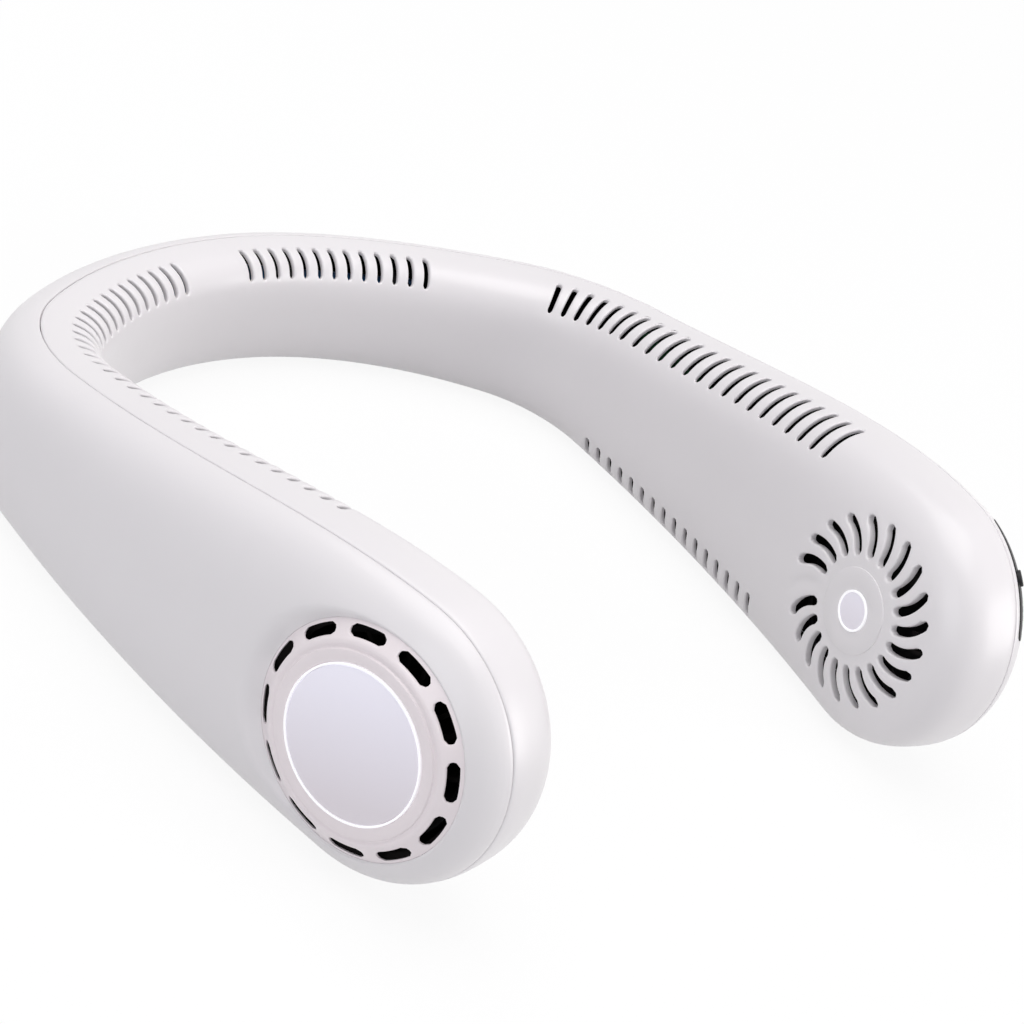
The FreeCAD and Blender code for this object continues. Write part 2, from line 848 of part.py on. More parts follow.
def intake_cover():
    groove_end = hub_groove_radius + hub_groove_width
    cone_top = cover_top - cone_top_drop
    lug_bottom = collar_face - lug_thickness
    wall_radius = cover_radius - cover_wall
    body = turned_solid([
        (0, cover_top - plate_recess),
        (recess_radius, cover_top - plate_recess),
        (recess_radius, cover_top),
        (hub_groove_radius, cover_top),
        (hub_groove_radius, cover_top - hub_groove_depth),
        (groove_end, cover_top - hub_groove_depth),
        (groove_end, cone_top),
        (cone_top_radius, cone_top),
        (cover_radius, cover_rim),
        (cover_radius, lug_bottom),
        (wall_radius, lug_bottom),
        (wall_radius, cover_rim - rim_inside_step),
        (cone_top_radius, cover_inside),
        (0, cover_inside),
    ])
    lug_outline = Part.makePolygon([
        Vector(wall_radius, 0, lug_bottom),
        Vector(cover_radius + lug_reach, 0, lug_bottom),
        Vector(cover_radius + lug_reach, 0, collar_face),
        Vector(wall_radius, 0, collar_face),
        Vector(wall_radius, 0, lug_bottom),
    ])
    lug = Part.Face(lug_outline).revolve(Vector(0, 0, 0), Vector(0, 0, 1), lug_angle)
    lugs = around(lug_count, lug, lug_first_angle - lug_angle / 2)
    bosses = around(boss_count, off_axis(boss_radius, base_top, cover_inside))
    slot_arc = intake_length - intake_width
    slot = arc_slot(intake_radius, intake_width, slot_arc, collar_face, end_half_thickness)
    pilot_end = base_top + screw_bite + fit_clearance
    pilots = around(boss_count, off_axis(screw_radius + fit_clearance, base_top, pilot_end))
    return body.fuse(lugs + bosses).cut(around(intake_count, slot, intake_first_angle) + pilots)


def cover_plate():
    floor = cover_top - plate_recess
    return drum(plate_radius, floor, cover_top + plate_proud)


def cover_plate_ring():
    floor = cover_top - plate_recess
    return drum(ring_radius, floor, cover_top + plate_ring_proud, plate_radius + fit_clearance)


def grille_plate():
    return drum(grille_plate_radius, -grille_face - plate_proud, grille_plate_recess - grille_face)


def grille_plate_ring():
    bore = grille_plate_radius + fit_clearance
    low = -grille_face - plate_ring_proud
    return drum(grille_ring_radius, low, grille_plate_recess - grille_face, bore)


def motor_base():
    plate = drum(motor_base_radius, base_bottom, base_top, bearing_tube_radius + fit_clearance)
    return plate.cut(around(boss_count, off_axis(screw_radius + fit_clearance, base_bottom, base_top)))


def motor_screws():
    shank = off_axis(screw_radius, base_bottom, base_top + screw_bite)
    head = off_axis(screw_head_radius, base_bottom - screw_head_height, base_bottom)
    return Part.makeCompound(around(boss_count, shank.fuse(head)))


def motor_board():
    return drum(motor_board_radius, motor_board_bottom, base_bottom, bearing_tube_radius + fit_clearance)


def bearing_tube():
    return drum(bearing_tube_radius, stator_bottom - coil_build, base_top, bearing_tube_bore)


def bearings():
    bore = shaft_radius + running_clearance
    outer = bearing_tube_bore - running_clearance
    low = stator_bottom - coil_build
    high = base_top - shaft_end_gap - fit_clearance
    pair = [drum(outer, low, low + bearing_length, bore), drum(outer, high - bearing_length, high, bore)]
    return Part.makeCompound(pair)


def tooth_bar(inner, outer, width, low, high):
    return Part.makeBox(outer - inner, width, high - low, Vector(inner, -width / 2, low))


def stator_core():
    bore = bearing_tube_radius + fit_clearance
    hub = drum(stator_hub_radius, stator_bottom, stator_top)
    tooth = tooth_bar(0, stator_radius, tooth_width, stator_bottom, stator_top)
    shoe_inner = stator_radius - tooth_shoe_depth
    shoe = tooth_bar(shoe_inner, stator_radius, tooth_shoe_width, stator_bottom, stator_top)
    core = hub.fuse(around(tooth_count, tooth.fuse(shoe)))
    core = core.common(drum(stator_radius, stator_bottom, stator_top))
    return core.cut(drum(bore, stator_bottom, stator_top))


def stator_coils():
    inner = stator_hub_radius + fit_clearance
    outer = stator_radius - tooth_shoe_depth - fit_clearance
    coil_width = tooth_width + 2 * coil_build
    outside = tooth_bar(inner, outer, coil_width, stator_bottom - coil_build, stator_top + coil_build)
    hole_width = tooth_width + 2 * fit_clearance
    hole = tooth_bar(inner, outer, hole_width, stator_bottom - fit_clearance, stator_top + fit_clearance)
    return Part.makeCompound(around(tooth_count, outside.cut(hole)))


def rotor_cup():
    cup = drum(rotor_radius, rotor_bottom, rotor_rim, rotor_radius - rotor_wall)
    return cup.fuse(drum(rotor_radius, rotor_bottom, rotor_inside, shaft_radius))


def magnet_ring():
    low = rotor_inside + fit_clearance
    return drum(magnet_radius, low, low + magnet_height, magnet_bore)


def shaft():
    return drum(shaft_radius, rotor_bottom, shaft_top)


def impeller():
    hub_top = rotor_rim - impeller_plate_thickness
    hub = drum(impeller_hub_radius, impeller_nose, hub_top)
    hub = hub.cut(drum(impeller_bore, rotor_bottom, hub_top))
    plate = drum(impeller_radius, impeller_nose, impeller_nose + impeller_plate_thickness)
    outer = impeller_radius - blade_thickness
    blade = bent_bar(blade_inner_radius, outer, blade_bend_radius, blade_thickness, blade_bottom, blade_top)
    ring_bore = impeller_radius - blade_ring_width
    rings = [
        drum(impeller_radius, blade_bottom, blade_bottom + blade_ring_thickness, ring_bore),
        drum(impeller_radius, blade_top - blade_ring_thickness, blade_top, ring_bore),
    ]
    return hub.fuse([plate] + rings + around(blade_count, blade))


def battery_cell():
    along = direction(cell_place, 1, 0, 0)
    middle = place(cell_place, -cell_inward_shift, 0)
    start = middle - along * (cell_length / 2)
    can = Part.makeCylinder(cell_radius, cell_length, start, along)
    nub_start = start - along * cell_nub_height
    return can.fuse(Part.makeCylinder(cell_nub_radius, cell_nub_height, nub_start, along))


def battery_saddles():
    """Foam blocks between each cell and the inner shell."""
    along = direction(cell_place, 1, 0, 0)
    start = place(cell_place, -cell_inward_shift, 0) - along * cell_length
    bore = Part.makeCylinder(cell_radius + fit_clearance, 2 * cell_length, start, along)
    saddles = []
    for sign in (-1, 1):
        middle = sign * saddle_spread
        ahead = (middle - saddle_length / 2, middle + saddle_length / 2)
        half_high = saddle_height / 2
        cushion = block(cell_place, ahead, (-back_half_thickness - cut_overrun, 0), (-half_high, half_high))
        first = cell_place + middle - saddle_length
        room = filled_band(first, first + 2 * saddle_length, wall + seat_clearance, saddle_steps)
        saddles += right_and_left(cushion.common(room).cut(bore))
    return Part.makeCompound(saddles)


def wire_point(length):
    """Point on the floor of the band for the middle of the wires."""
    point = place(length, 0, 0)
    return Vector(point.x, point.y, wall - rest_flat + seat_clearance + wire_radius)


def wiring():
    """Sleeved wires along the floor, from one motor plug to the other, on the band's own arcs."""
    shoulder_start = back_arc_radius * math.radians(back_arc_angle)
    arm_start = shoulder_start + shoulder_arc_radius * math.radians(shoulder_arc_angle)
    ends = [-wire_end_place, -arm_start, -shoulder_start, shoulder_start, arm_start, wire_end_place]
    edges = []
    for first, last in zip(ends, ends[1:]):
        middle = (first + last) / 2
        edges.append(Part.Arc(wire_point(first), wire_point(middle), wire_point(last)).toShape())
    path = Part.Wire(edges)
    along = direction(-wire_end_place, 1, 0, 0)
    rim = Part.Wire(Part.makeCircle(wire_radius, wire_point(-wire_end_place), along))
    tube = path.makePipeShell([rim], True, False)
    print("wiring radii", back_arc_radius, shoulder_arc_radius, arm_arc_radius)
    print("wiring volume share", tube.Volume / (math.pi * wire_radius ** 2 * path.Length))
    return tube


def motor_plug():
    half_wide = plug_width / 2
    thick = half_thickness(wire_end_place) - wall
    tall = half_height(wire_end_place) - wall
    low = seat_clearance - rise(half_wide, thick, tall)
    return block(wire_end_place, (0, plug_length), (-half_wide, half_wide), (low, low + plug_height))


shapes = {
    "outer_shell": outer_shell(),
    "inner_shell": inner_shell(),
    "battery_saddles": battery_saddles(),
    "main_board": main_board(),
    "board_screws": board_screws(),
    "charging_socket": charging_socket(),
    "control_strip": to_fan(control_strip()),
    "power_button": to_fan(power_button()),
    "tact_switch": to_fan(tact_switch()),
    "switch_board": to_fan(switch_board()),
    "indicator_lights": to_fan(indicator_lights()),
    "wiring": wiring(),
}
paired = {
    "intake_cover": to_fan(intake_cover()),
    "cover_plate": to_fan(cover_plate()),
    "cover_plate_ring": to_fan(cover_plate_ring()),
    "grille_plate": to_fan(grille_plate()),
    "grille_plate_ring": to_fan(grille_plate_ring()),
    "motor_base": to_fan(motor_base()),
    "motor_screws": to_fan(motor_screws()),
    "motor_board": to_fan(motor_board()),
    "bearing_tube": to_fan(bearing_tube()),
    "bearings": to_fan(bearings()),
    "stator_core": to_fan(stator_core()),
    "stator_coils": to_fan(stator_coils()),
    "rotor_cup": to_fan(rotor_cup()),
    "magnet_ring": to_fan(magnet_ring()),
    "shaft": to_fan(shaft()),
    "impeller": to_fan(impeller()),
    "battery_cell": battery_cell(),
    "motor_plug": motor_plug(),
}
for name, shape in paired.items():
    shapes["right_" + name] = shape
    shapes["left_" + name] = mirrored(shape)

for name, shape in shapes.items():
    shape.exportStep("parts/" + name + ".step")
    print(name, len(shape.Solids), round(shape.Volume, 1), shape.isValid())

button_point, button_way = strip_place(button_angle)
print("fan axis", fan_centre, fan_axis)
print("button", to_fan(Part.Vertex(button_point)).Point, to_fan(Part.Vertex(button_way)).Point - fan_centre)
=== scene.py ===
# %% [markdown]
# # A neck fan, dressed for its picture
# This neck fan is one white band that lies round the neck, with a small blower in each round end.
# The construction model gives every piece its true place, so the picture starts from that frame.
# The frame could be drawn again by hand, but then the picture and the moving model would drift apart.

# %% Load the frame and keep its box
import json
import math

import bmesh
import bpy
import numpy as np
from mathutils import Matrix, Vector


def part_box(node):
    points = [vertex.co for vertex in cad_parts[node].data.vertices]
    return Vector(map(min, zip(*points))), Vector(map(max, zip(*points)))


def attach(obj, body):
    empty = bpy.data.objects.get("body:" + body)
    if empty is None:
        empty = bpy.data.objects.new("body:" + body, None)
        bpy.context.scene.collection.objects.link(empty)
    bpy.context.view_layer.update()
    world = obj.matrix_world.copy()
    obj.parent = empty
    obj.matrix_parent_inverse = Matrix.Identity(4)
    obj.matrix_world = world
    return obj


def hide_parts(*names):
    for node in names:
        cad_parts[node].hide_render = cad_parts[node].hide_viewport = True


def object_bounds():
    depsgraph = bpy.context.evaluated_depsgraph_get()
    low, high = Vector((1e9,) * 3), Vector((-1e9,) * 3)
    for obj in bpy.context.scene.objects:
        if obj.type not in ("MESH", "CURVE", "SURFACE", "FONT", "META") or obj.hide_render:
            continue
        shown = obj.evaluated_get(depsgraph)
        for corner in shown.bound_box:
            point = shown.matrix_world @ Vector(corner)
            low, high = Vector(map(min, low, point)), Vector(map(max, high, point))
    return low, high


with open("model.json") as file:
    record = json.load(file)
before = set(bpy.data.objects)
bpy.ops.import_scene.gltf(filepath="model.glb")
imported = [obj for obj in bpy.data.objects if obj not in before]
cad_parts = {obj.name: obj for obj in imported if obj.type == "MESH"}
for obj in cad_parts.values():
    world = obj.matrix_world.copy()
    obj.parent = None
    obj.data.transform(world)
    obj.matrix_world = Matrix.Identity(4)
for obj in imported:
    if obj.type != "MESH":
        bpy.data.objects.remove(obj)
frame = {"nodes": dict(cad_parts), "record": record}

cad_box = [list(corner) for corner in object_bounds()]
scene = bpy.context.scene

# %% [markdown]
# ## Camera
# The photograph looks down on the fan from its left front, and the fan leans in the picture.
# The lean could be given to the fan, but it has to stay on its floor, so the camera is rolled instead.
# A long lens keeps the far end of the band almost as large as the near one.

# %% Camera
TARGET = Vector((-0.00013, -0.01404, 0.0281))
DISTANCE = 0.61873
AZIMUTH, ELEVATION, ROLL = (math.radians(angle) for angle in (-53.048, 29.914, 24.598))
LENS, SENSOR, CLIP_START = 98.84, 36.0, 0.01

backward = Vector((
    math.sin(AZIMUTH) * math.cos(ELEVATION),
    -math.cos(AZIMUTH) * math.cos(ELEVATION),
    math.sin(ELEVATION),
))
level = Vector((math.cos(AZIMUTH), math.sin(AZIMUTH), 0))
upright = backward.cross(level)
across = level * math.cos(ROLL) + upright * math.sin(ROLL)
upward = upright * math.cos(ROLL) - level * math.sin(ROLL)
camera_data = bpy.data.cameras.new("camera")
camera_data.lens = LENS
camera_data.sensor_width = SENSOR
camera_data.clip_start = CLIP_START
camera = bpy.data.objects.new("camera", camera_data)
turned = Matrix((across, upward, backward)).transposed().to_4x4()
camera.matrix_world = Matrix.Translation(TARGET + backward * DISTANCE) @ turned
scene.collection.objects.link(camera)
scene.camera = camera
print("camera at", [round(value, 4) for value in camera.matrix_world.translation])

# %% [markdown]
# ## Floor, background and light
# A catalogue picture has a white ground and very soft light, so that a white object still shows its form.
# A bright floor alone would go grey away from the lamps, so camera rays see most of it as plain white.
# Near the fan a share stays an ordinary pale surface, which keeps the shadow, and far off it fades to white.

# %% Helpers for node trees
scene.view_settings.view_transform = "Standard"


def add(tree, kind, inputs=None, **settings):
    """One node. Its inputs, by name or number, take a value or a link; settings are the node's own."""
    node = tree.nodes.new(kind)
    for name, value in settings.items():
        setattr(node, name, value)
    for name, value in (inputs or {}).items():
        if isinstance(value, bpy.types.NodeSocket):
            tree.links.new(value, node.inputs[name])
        else:
            node.inputs[name].default_value = value
    return node


def operation(tree, kind, first, second):
    """Result of a math node on two values, each a link or a number."""
    return add(tree, "ShaderNodeMath", {0: first, 1: second}, operation=kind).outputs[0]


def object_place(tree):
    return add(tree, "ShaderNodeTexCoord").outputs["Object"]


def straight_look(tree):
    """1 on rays from the camera, also by way of a shiny or clear surface, and 0 on scattered light."""
    path = add(tree, "ShaderNodeLightPath").outputs
    mirror_like = operation(tree, "MAXIMUM", path["Is Glossy Ray"], path["Is Transmission Ray"])
    return operation(tree, "MAXIMUM", path["Is Camera Ray"], mirror_like)


def mix_out(tree, factor, first, second, output):
    """Two shaders mixed by a factor, and the mix led to the tree's output."""
    mixed = add(tree, "ShaderNodeMixShader", {0: factor, 1: first.outputs[0], 2: second.outputs[0]})
    add(tree, output, {"Surface": mixed.outputs[0]})


def empty_material(name):
    material = bpy.data.materials.new(name)
    material.use_nodes = True
    material.node_tree.nodes.clear()
    return material


print("view transform", scene.view_settings.view_transform)

# %% Floor
WHITE = (1, 1, 1, 1)
FLOOR_SIZE, FLOOR_GAP = 6.0, 0.0002
FLOOR_BOUNCE, FLOOR_SEEN = 0.69, 0.93
PLAIN_NEAR, PLAIN_FAR = 0.9, 1.0
SHADE_NEAR, SHADE_FAR = 0.3, 1.0

half = FLOOR_SIZE / 2
corners = [(-half, -half, 0), (half, -half, 0), (half, half, 0), (-half, half, 0)]
floor_mesh = bpy.data.meshes.new("floor")
floor_mesh.from_pydata(corners, [], [(0, 1, 2, 3)])
floor = bpy.data.objects.new("floor", floor_mesh)
floor.location.z = cad_box[0][2] - FLOOR_GAP
scene.collection.objects.link(floor)

floor_paint = empty_material("floor_paint")
tree = floor_paint.node_tree
seen = straight_look(tree)
paleness = add(tree, "ShaderNodeMapRange", {"Value": seen, "To Min": FLOOR_BOUNCE, "To Max": FLOOR_SEEN})
pale = add(tree, "ShaderNodeBsdfDiffuse", {"Color": paleness.outputs[0]})
plain = add(tree, "ShaderNodeEmission", {"Color": WHITE, "Strength": 1.0})
away = add(tree, "ShaderNodeVectorMath", {0: object_place(tree)}, operation="LENGTH")
fade = {"From Min": SHADE_NEAR, "From Max": SHADE_FAR, "To Min": PLAIN_NEAR, "To Max": PLAIN_FAR}
plain_share = add(tree, "ShaderNodeMapRange", {"Value": away.outputs["Value"], **fade})
plain_share = operation(tree, "MULTIPLY", seen, plain_share.outputs[0])
mix_out(tree, plain_share, pale, plain, "ShaderNodeOutputMaterial")
floor_mesh.materials.append(floor_paint)
print("floor", FLOOR_SIZE, "m wide, paint with", len(tree.nodes), "nodes")

# %% Sky and lamps
SKY, SKY_STRENGTH = (0.93, 0.94, 1.0, 1), 0.32
WARM, COOL = (1.0, 0.985, 0.97), (0.95, 0.965, 1.0)
LAMP_AIM = Vector((0, 0, 0.03))

world = bpy.data.worlds.new("studio")
world.use_nodes = True
tree = world.node_tree
tree.nodes.clear()
sky = add(tree, "ShaderNodeBackground", {"Color": SKY, "Strength": SKY_STRENGTH})
backdrop = add(tree, "ShaderNodeBackground", {"Color": WHITE, "Strength": 1.0})
mix_out(tree, straight_look(tree), sky, backdrop, "ShaderNodeOutputWorld")
scene.world = world


def softbox(name, spot, size, power, colour):
    """Square area lamp turned towards the fan."""
    data = bpy.data.lights.new(name, "AREA")
    data.shape = "SQUARE"
    data.size = size
    data.energy = power
    data.color = colour
    lamp = bpy.data.objects.new(name, data)
    lamp.location = spot
    lamp.rotation_mode = "QUATERNION"
    lamp.rotation_quaternion = (LAMP_AIM - Vector(spot)).to_track_quat("-Z", "Y")
    scene.collection.objects.link(lamp)


softbox("top_box", spot=(-0.1, 0.15, 1.3), size=1.3, power=13.8, colour=WARM)
softbox("left_box", spot=(-1.3, -0.4, 0.5), size=0.9, power=4.4, colour=COOL)
softbox("front_box", spot=(1.0, -1.2, 0.5), size=0.9, power=11.0, colour=WARM)

# %% [markdown]
# ## Finishes
# Moulded plastic is never one flat colour: the steel mould leaves a fine grain and the tone drifts a little.
# Each material could carry its own copy of that, but one shared node group keeps them alike.
# The group takes a colour and a roughness, and hands back both with grain, and a normal for the fine relief.


# %% Shared grain group
def node_group(name, kind, inputs, outputs):
    """Empty node group with named sockets, then the sockets it is given and those it gives back."""
    group = bpy.data.node_groups.new(name, kind)
    for way, sockets in (("INPUT", inputs), ("OUTPUT", outputs)):
        for label, socket in sockets.items():
            group.interface.new_socket(label, in_out=way, socket_type="NodeSocket" + socket)
    return group, add(group, "NodeGroupInput").outputs, add(group, "NodeGroupOutput").inputs


FINE_DETAIL, MATT_SWING, RELIEF_DEPTH = 3.0, 0.12, 0.0001
DRIFT_SCALE, DRIFT_DETAIL, NOISE_MIDDLE = 28.0, 2.0, 0.5
grain, given, result = node_group(
    "moulded_grain", "ShaderNodeTree",
    {"Colour": "Color", "Roughness": "Float", "Scale": "Float", "Relief": "Float", "Drift": "Float"},
    {"Colour": "Color", "Roughness": "Float", "Normal": "Vector"},
)
spot = object_place(grain)
fine = add(grain, "ShaderNodeTexNoise", {"Vector": spot, "Scale": given["Scale"], "Detail": FINE_DETAIL})
drift = add(grain, "ShaderNodeTexNoise", {"Vector": spot, "Scale": DRIFT_SCALE, "Detail": DRIFT_DETAIL})
matt, swing = (operation(grain, "SUBTRACT", noise.outputs["Fac"], NOISE_MIDDLE) for noise in (fine, drift))
matt = operation(grain, "MULTIPLY", matt, MATT_SWING)
swing = operation(grain, "ADD", operation(grain, "MULTIPLY", swing, given["Drift"]), 1.0)
tone = add(grain, "ShaderNodeHueSaturation", {"Value": swing, "Color": given["Colour"]})
bumps = {"Distance": RELIEF_DEPTH, "Height": fine.outputs["Fac"], "Strength": given["Relief"]}
grain.links.new(tone.outputs[0], result["Colour"])
grain.links.new(operation(grain, "ADD", given["Roughness"], matt), result["Roughness"])
grain.links.new(add(grain, "ShaderNodeBump", bumps).outputs[0], result["Normal"])
print("group", grain.name, len(grain.nodes), "nodes")

# %% [markdown]
# ## One material for each finish of the record
# The record names a slot for every piece, so one table of finishes dresses the whole fan.
# Plastics differ in colour, gloss and grain; metals also turn Metallic up and get a coarser grain.
# Values come from the photograph for what shows, and from ordinary parts for what is inside.

# %% Plain finishes
GRAIN_FINE, GRAIN_COARSE, COAT_ROUGHNESS = 2600.0, 900.0, 0.12


def to_output(material, shader):
    add(material.node_tree, "ShaderNodeOutputMaterial", {"Surface": shader.outputs[0]})
    return material


def finish(
    name, colour, roughness, relief=0.05, drift=0.03, scale=GRAIN_FINE,
    metallic=0.0, coat=0.0, shine=0.5, glow=0.0,
):
    """Principled material whose colour, roughness and normal pass through the shared grain; its emission is
    a painted glow.
    """
    material = empty_material(name)
    tree = material.node_tree
    tint = (*colour, 1)
    values = {"Colour": tint, "Roughness": roughness, "Scale": scale, "Relief": relief, "Drift": drift}
    grained = add(tree, "ShaderNodeGroup", values, node_tree=grain, name="grain").outputs
    return to_output(material, add(tree, "ShaderNodeBsdfPrincipled", {
        "Base Color": grained["Colour"], "Roughness": grained["Roughness"], "Normal": grained["Normal"],
        "Metallic": metallic, "Coat Weight": coat, "Coat Roughness": COAT_ROUGHNESS,
        "Specular IOR Level": shine, "Emission Color": tint, "Emission Strength": glow,
    }))


# Colour, roughness, and what differs from a plain finish.
PLASTICS = {
    "casing_white": ((0.80, 0.775, 0.79), 0.36, {"coat": 0.10}),
    "cover_white": ((0.86, 0.79, 0.81), 0.34, {"coat": 0.10}),
    # The thin ring gets a painted glow: emission that makes it brighter than the white beside it, though it
    # is no lamp.
    "ring_white": ((0.98, 0.98, 1.0), 0.22, {"relief": 0.02, "coat": 0.3, "glow": 0.25}),
    "strip_dark": ((0.006, 0.006, 0.007), 0.30, {"relief": 0.02, "shine": 0.12}),
    "button_dark": ((0.014, 0.014, 0.016), 0.42, {"relief": 0.08, "shine": 0.25}),
    "light_clear": ((0.62, 0.64, 0.66), 0.12, {"relief": 0.0, "coat": 0.5}),
    "impeller_dark": ((0.006, 0.006, 0.007), 0.55, {"relief": 0.08, "shine": 0.12}),
    # The inside layers of the walls are painted near black: painted shade for the dark within the casing.
    "inside_painted_shade": ((0.014, 0.012, 0.012), 0.8, {"relief": 0.1, "shine": 0.1}),
    "wire_sleeve": ((0.05, 0.05, 0.054), 0.55, {"relief": 0.2}),
    "plug_cream": ((0.72, 0.68, 0.56), 0.45, {"relief": 0.08}),
    "magnet_dark": ((0.045, 0.044, 0.046), 0.55, {"relief": 0.25, "drift": 0.10, "scale": GRAIN_COARSE}),
    "foam_dark": (
        (0.03, 0.03, 0.032), 0.95, {"relief": 0.7, "drift": 0.25, "scale": GRAIN_COARSE, "shine": 0.1},
    ),
}
# Colour, roughness, relief and drift.
METALS = {
    "motor_steel": ((0.55, 0.55, 0.56), 0.34, 0.12, 0.06),
    "shaft_steel": ((0.66, 0.66, 0.67), 0.18, 0.04, 0.03),
    "screw_steel": ((0.42, 0.42, 0.44), 0.30, 0.10, 0.06),
    "socket_steel": ((0.60, 0.60, 0.61), 0.26, 0.08, 0.05),
    "tube_brass": ((0.72, 0.53, 0.24), 0.28, 0.08, 0.06),
    "bearing_bronze": ((0.48, 0.33, 0.20), 0.5, 0.25, 0.10),
}
materials = {name: finish(name, *row[:2], **row[2]) for name, row in PLASTICS.items()}
for name, row in METALS.items():
    materials[name] = finish(name, *row, scale=GRAIN_COARSE, metallic=1.0)
print("plain finishes", len(materials))

# %% [markdown]
# ## Finishes with a pattern
# A circuit board, a wound coil and a shrink-wrapped cell each have a pattern that plain grain can't give.
# They could be image textures, but a few procedural nodes stay sharp at any distance.
# Stripes serve for the copper turns, rounded cells for the board's copper, and broad bands for the wrap.

# %% Patterned finishes
STRIPE_WOBBLE, STRIPE_DETAIL = 0.4, 1.0
TRACK_SCALE, TRACK_RANDOM, TRACK_EDGE = 420, 0.35, 0.09
THREAD_DEPTH, TRACK_DEPTH = 0.0001, 0.00005
# The Mix node has sockets for every kind of value; these are the numbers of its colours.
COLOUR_FIRST, COLOUR_SECOND, COLOUR_RESULT = 6, 7, 2


def two_colours(tree, factor, first, second):
    """Colour between two, by a factor from 0 to 1."""
    values = {"Factor": factor, COLOUR_FIRST: (*first, 1), COLOUR_SECOND: (*second, 1)}
    return add(tree, "ShaderNodeMix", values, data_type="RGBA").outputs[COLOUR_RESULT]


def patterned(name, first, second, pattern, roughness, metallic, relief, depth):
    """Two colours and a relief that follow one pattern, a function of the tree."""
    material = empty_material(name)
    tree = material.node_tree
    factor = pattern(tree)
    bump = add(tree, "ShaderNodeBump", {"Strength": relief, "Distance": depth, "Height": factor})
    return to_output(material, add(tree, "ShaderNodeBsdfPrincipled", {
        "Base Color": two_colours(tree, factor, first, second), "Normal": bump.outputs[0],
        "Roughness": roughness, "Metallic": metallic,
    }))


def stripes(scale, direction):
    """Pattern of wavy bands along one axis, for windings and wraps."""
    values = {"Scale": scale, "Distortion": STRIPE_WOBBLE, "Detail": STRIPE_DETAIL}
    return lambda tree: add(
        tree, "ShaderNodeTexWave", {"Vector": object_place(tree), **values}, bands_direction=direction,
    ).outputs["Fac"]


def tracks(tree):
    """Pattern of thin lines between rounded cells, for copper that shows through a board's mask."""
    values = {"Vector": object_place(tree), "Scale": TRACK_SCALE, "Randomness": TRACK_RANDOM}
    cells = add(tree, "ShaderNodeTexVoronoi", values, feature="DISTANCE_TO_EDGE")
    return operation(tree, "GREATER_THAN", cells.outputs["Distance"], TRACK_EDGE)


WRAP_BLUES = (0.05, 0.16, 0.38), (0.06, 0.19, 0.44)
COPPERS = (0.55, 0.20, 0.08), (0.80, 0.36, 0.16)
BOARD_GREENS = (0.05, 0.22, 0.09), (0.012, 0.10, 0.045)
# Name, two colours, pattern, roughness, metallic, relief and its depth.
for name, *row in (
    ("coil_copper", *COPPERS, stripes(700, "Z"), 0.3, 1.0, 0.8, THREAD_DEPTH),
    ("cell_wrap", *WRAP_BLUES, stripes(60, "X"), 0.3, 0.0, 0.05, THREAD_DEPTH),
    ("board_green", *BOARD_GREENS, tracks, 0.35, 0.0, 0.3, TRACK_DEPTH),
):
    materials[name] = patterned(name, *row)
print("patterned finishes", len(materials) - len(PLASTICS) - len(METALS))

# %% [markdown]
# ## Painted light and shade on the discs, and dressing the frame
# The plain discs carry painted light and shade: bluish white above as a painted reflection, and a little
# warmer and darker below as painted shade.
# A lamp could be placed to give that shade, but it would go with the lamp, so the colour itself changes, and
# a faint painted glow lightens the discs too.
# Then every piece of the frame gets the finish that the record names for it.

# %% Painted light and shade on the discs, and finishes on the frame
# Colours of the discs' painted shade below and painted light above, blended along a direction that runs
# upward on the fan.
DISC_PAINTED_SHADE, DISC_PAINTED_LIGHT = (0.70, 0.65, 0.69), (0.92, 0.90, 1.0)
DISC_LIGHT_WAY, DISC_SHADE_START, DISC_LIGHT_END = (0, 0.46, 0.9), -0.018, 0.010
painted_disc = finish("plate_lavender", DISC_PAINTED_LIGHT, roughness=0.30, drift=0.02, coat=0.25, glow=0.08)
tree = painted_disc.node_tree
along = add(tree, "ShaderNodeVectorMath", {0: object_place(tree), 1: DISC_LIGHT_WAY}, operation="DOT_PRODUCT")
span = {"Value": along.outputs["Value"], "From Min": DISC_SHADE_START, "From Max": DISC_LIGHT_END}
share = add(tree, "ShaderNodeMapRange", span).outputs[0]
tree.links.new(two_colours(tree, share, DISC_PAINTED_SHADE, DISC_PAINTED_LIGHT), tree.nodes["grain"].inputs["Colour"])
materials["plate_lavender"] = painted_disc
for row in frame["record"]["subparts"]:
    cad_mesh = frame["nodes"][row["node"]].data
    cad_mesh.materials.clear()
    cad_mesh.materials.append(materials[row["material_slot"]])

# %% [markdown]
# ## The rule of the band
# The casing follows one rule: a rounded section, thin behind the neck and tall at the ends, on three arcs.
# It could be sculpted or subdivided from a cage, but the rule gives every point exactly.
# The functions below give the skin at any distance along the band, and the round tip beyond the fan axis.

# %% Plan of the band, in millimetres
PLAN_ARCS = ((115.0, 37.7), (40.0, 49.0), (398.0, 15.2))
END_RADIUS, BACK_HALF_THICKNESS, REST_FLAT = 31.0, 10.6, 0.4
MM = 0.001


def plan_station(length):
    """Offsets from the back of the band, and the angle turned, along one half."""
    offset_x, offset_y, turn_sum = (np.zeros_like(length) for _ in range(3))
    left_over = length.copy()
    for radius, angle in PLAN_ARCS:
        span = np.minimum(left_over, radius * math.radians(angle))
        after = turn_sum + span / radius
        offset_x += radius * (np.sin(after) - np.sin(turn_sum))
        offset_y += radius * (np.cos(after) - np.cos(turn_sum))
        turn_sum = after
        left_over = left_over - span
    return offset_x, offset_y, turn_sum


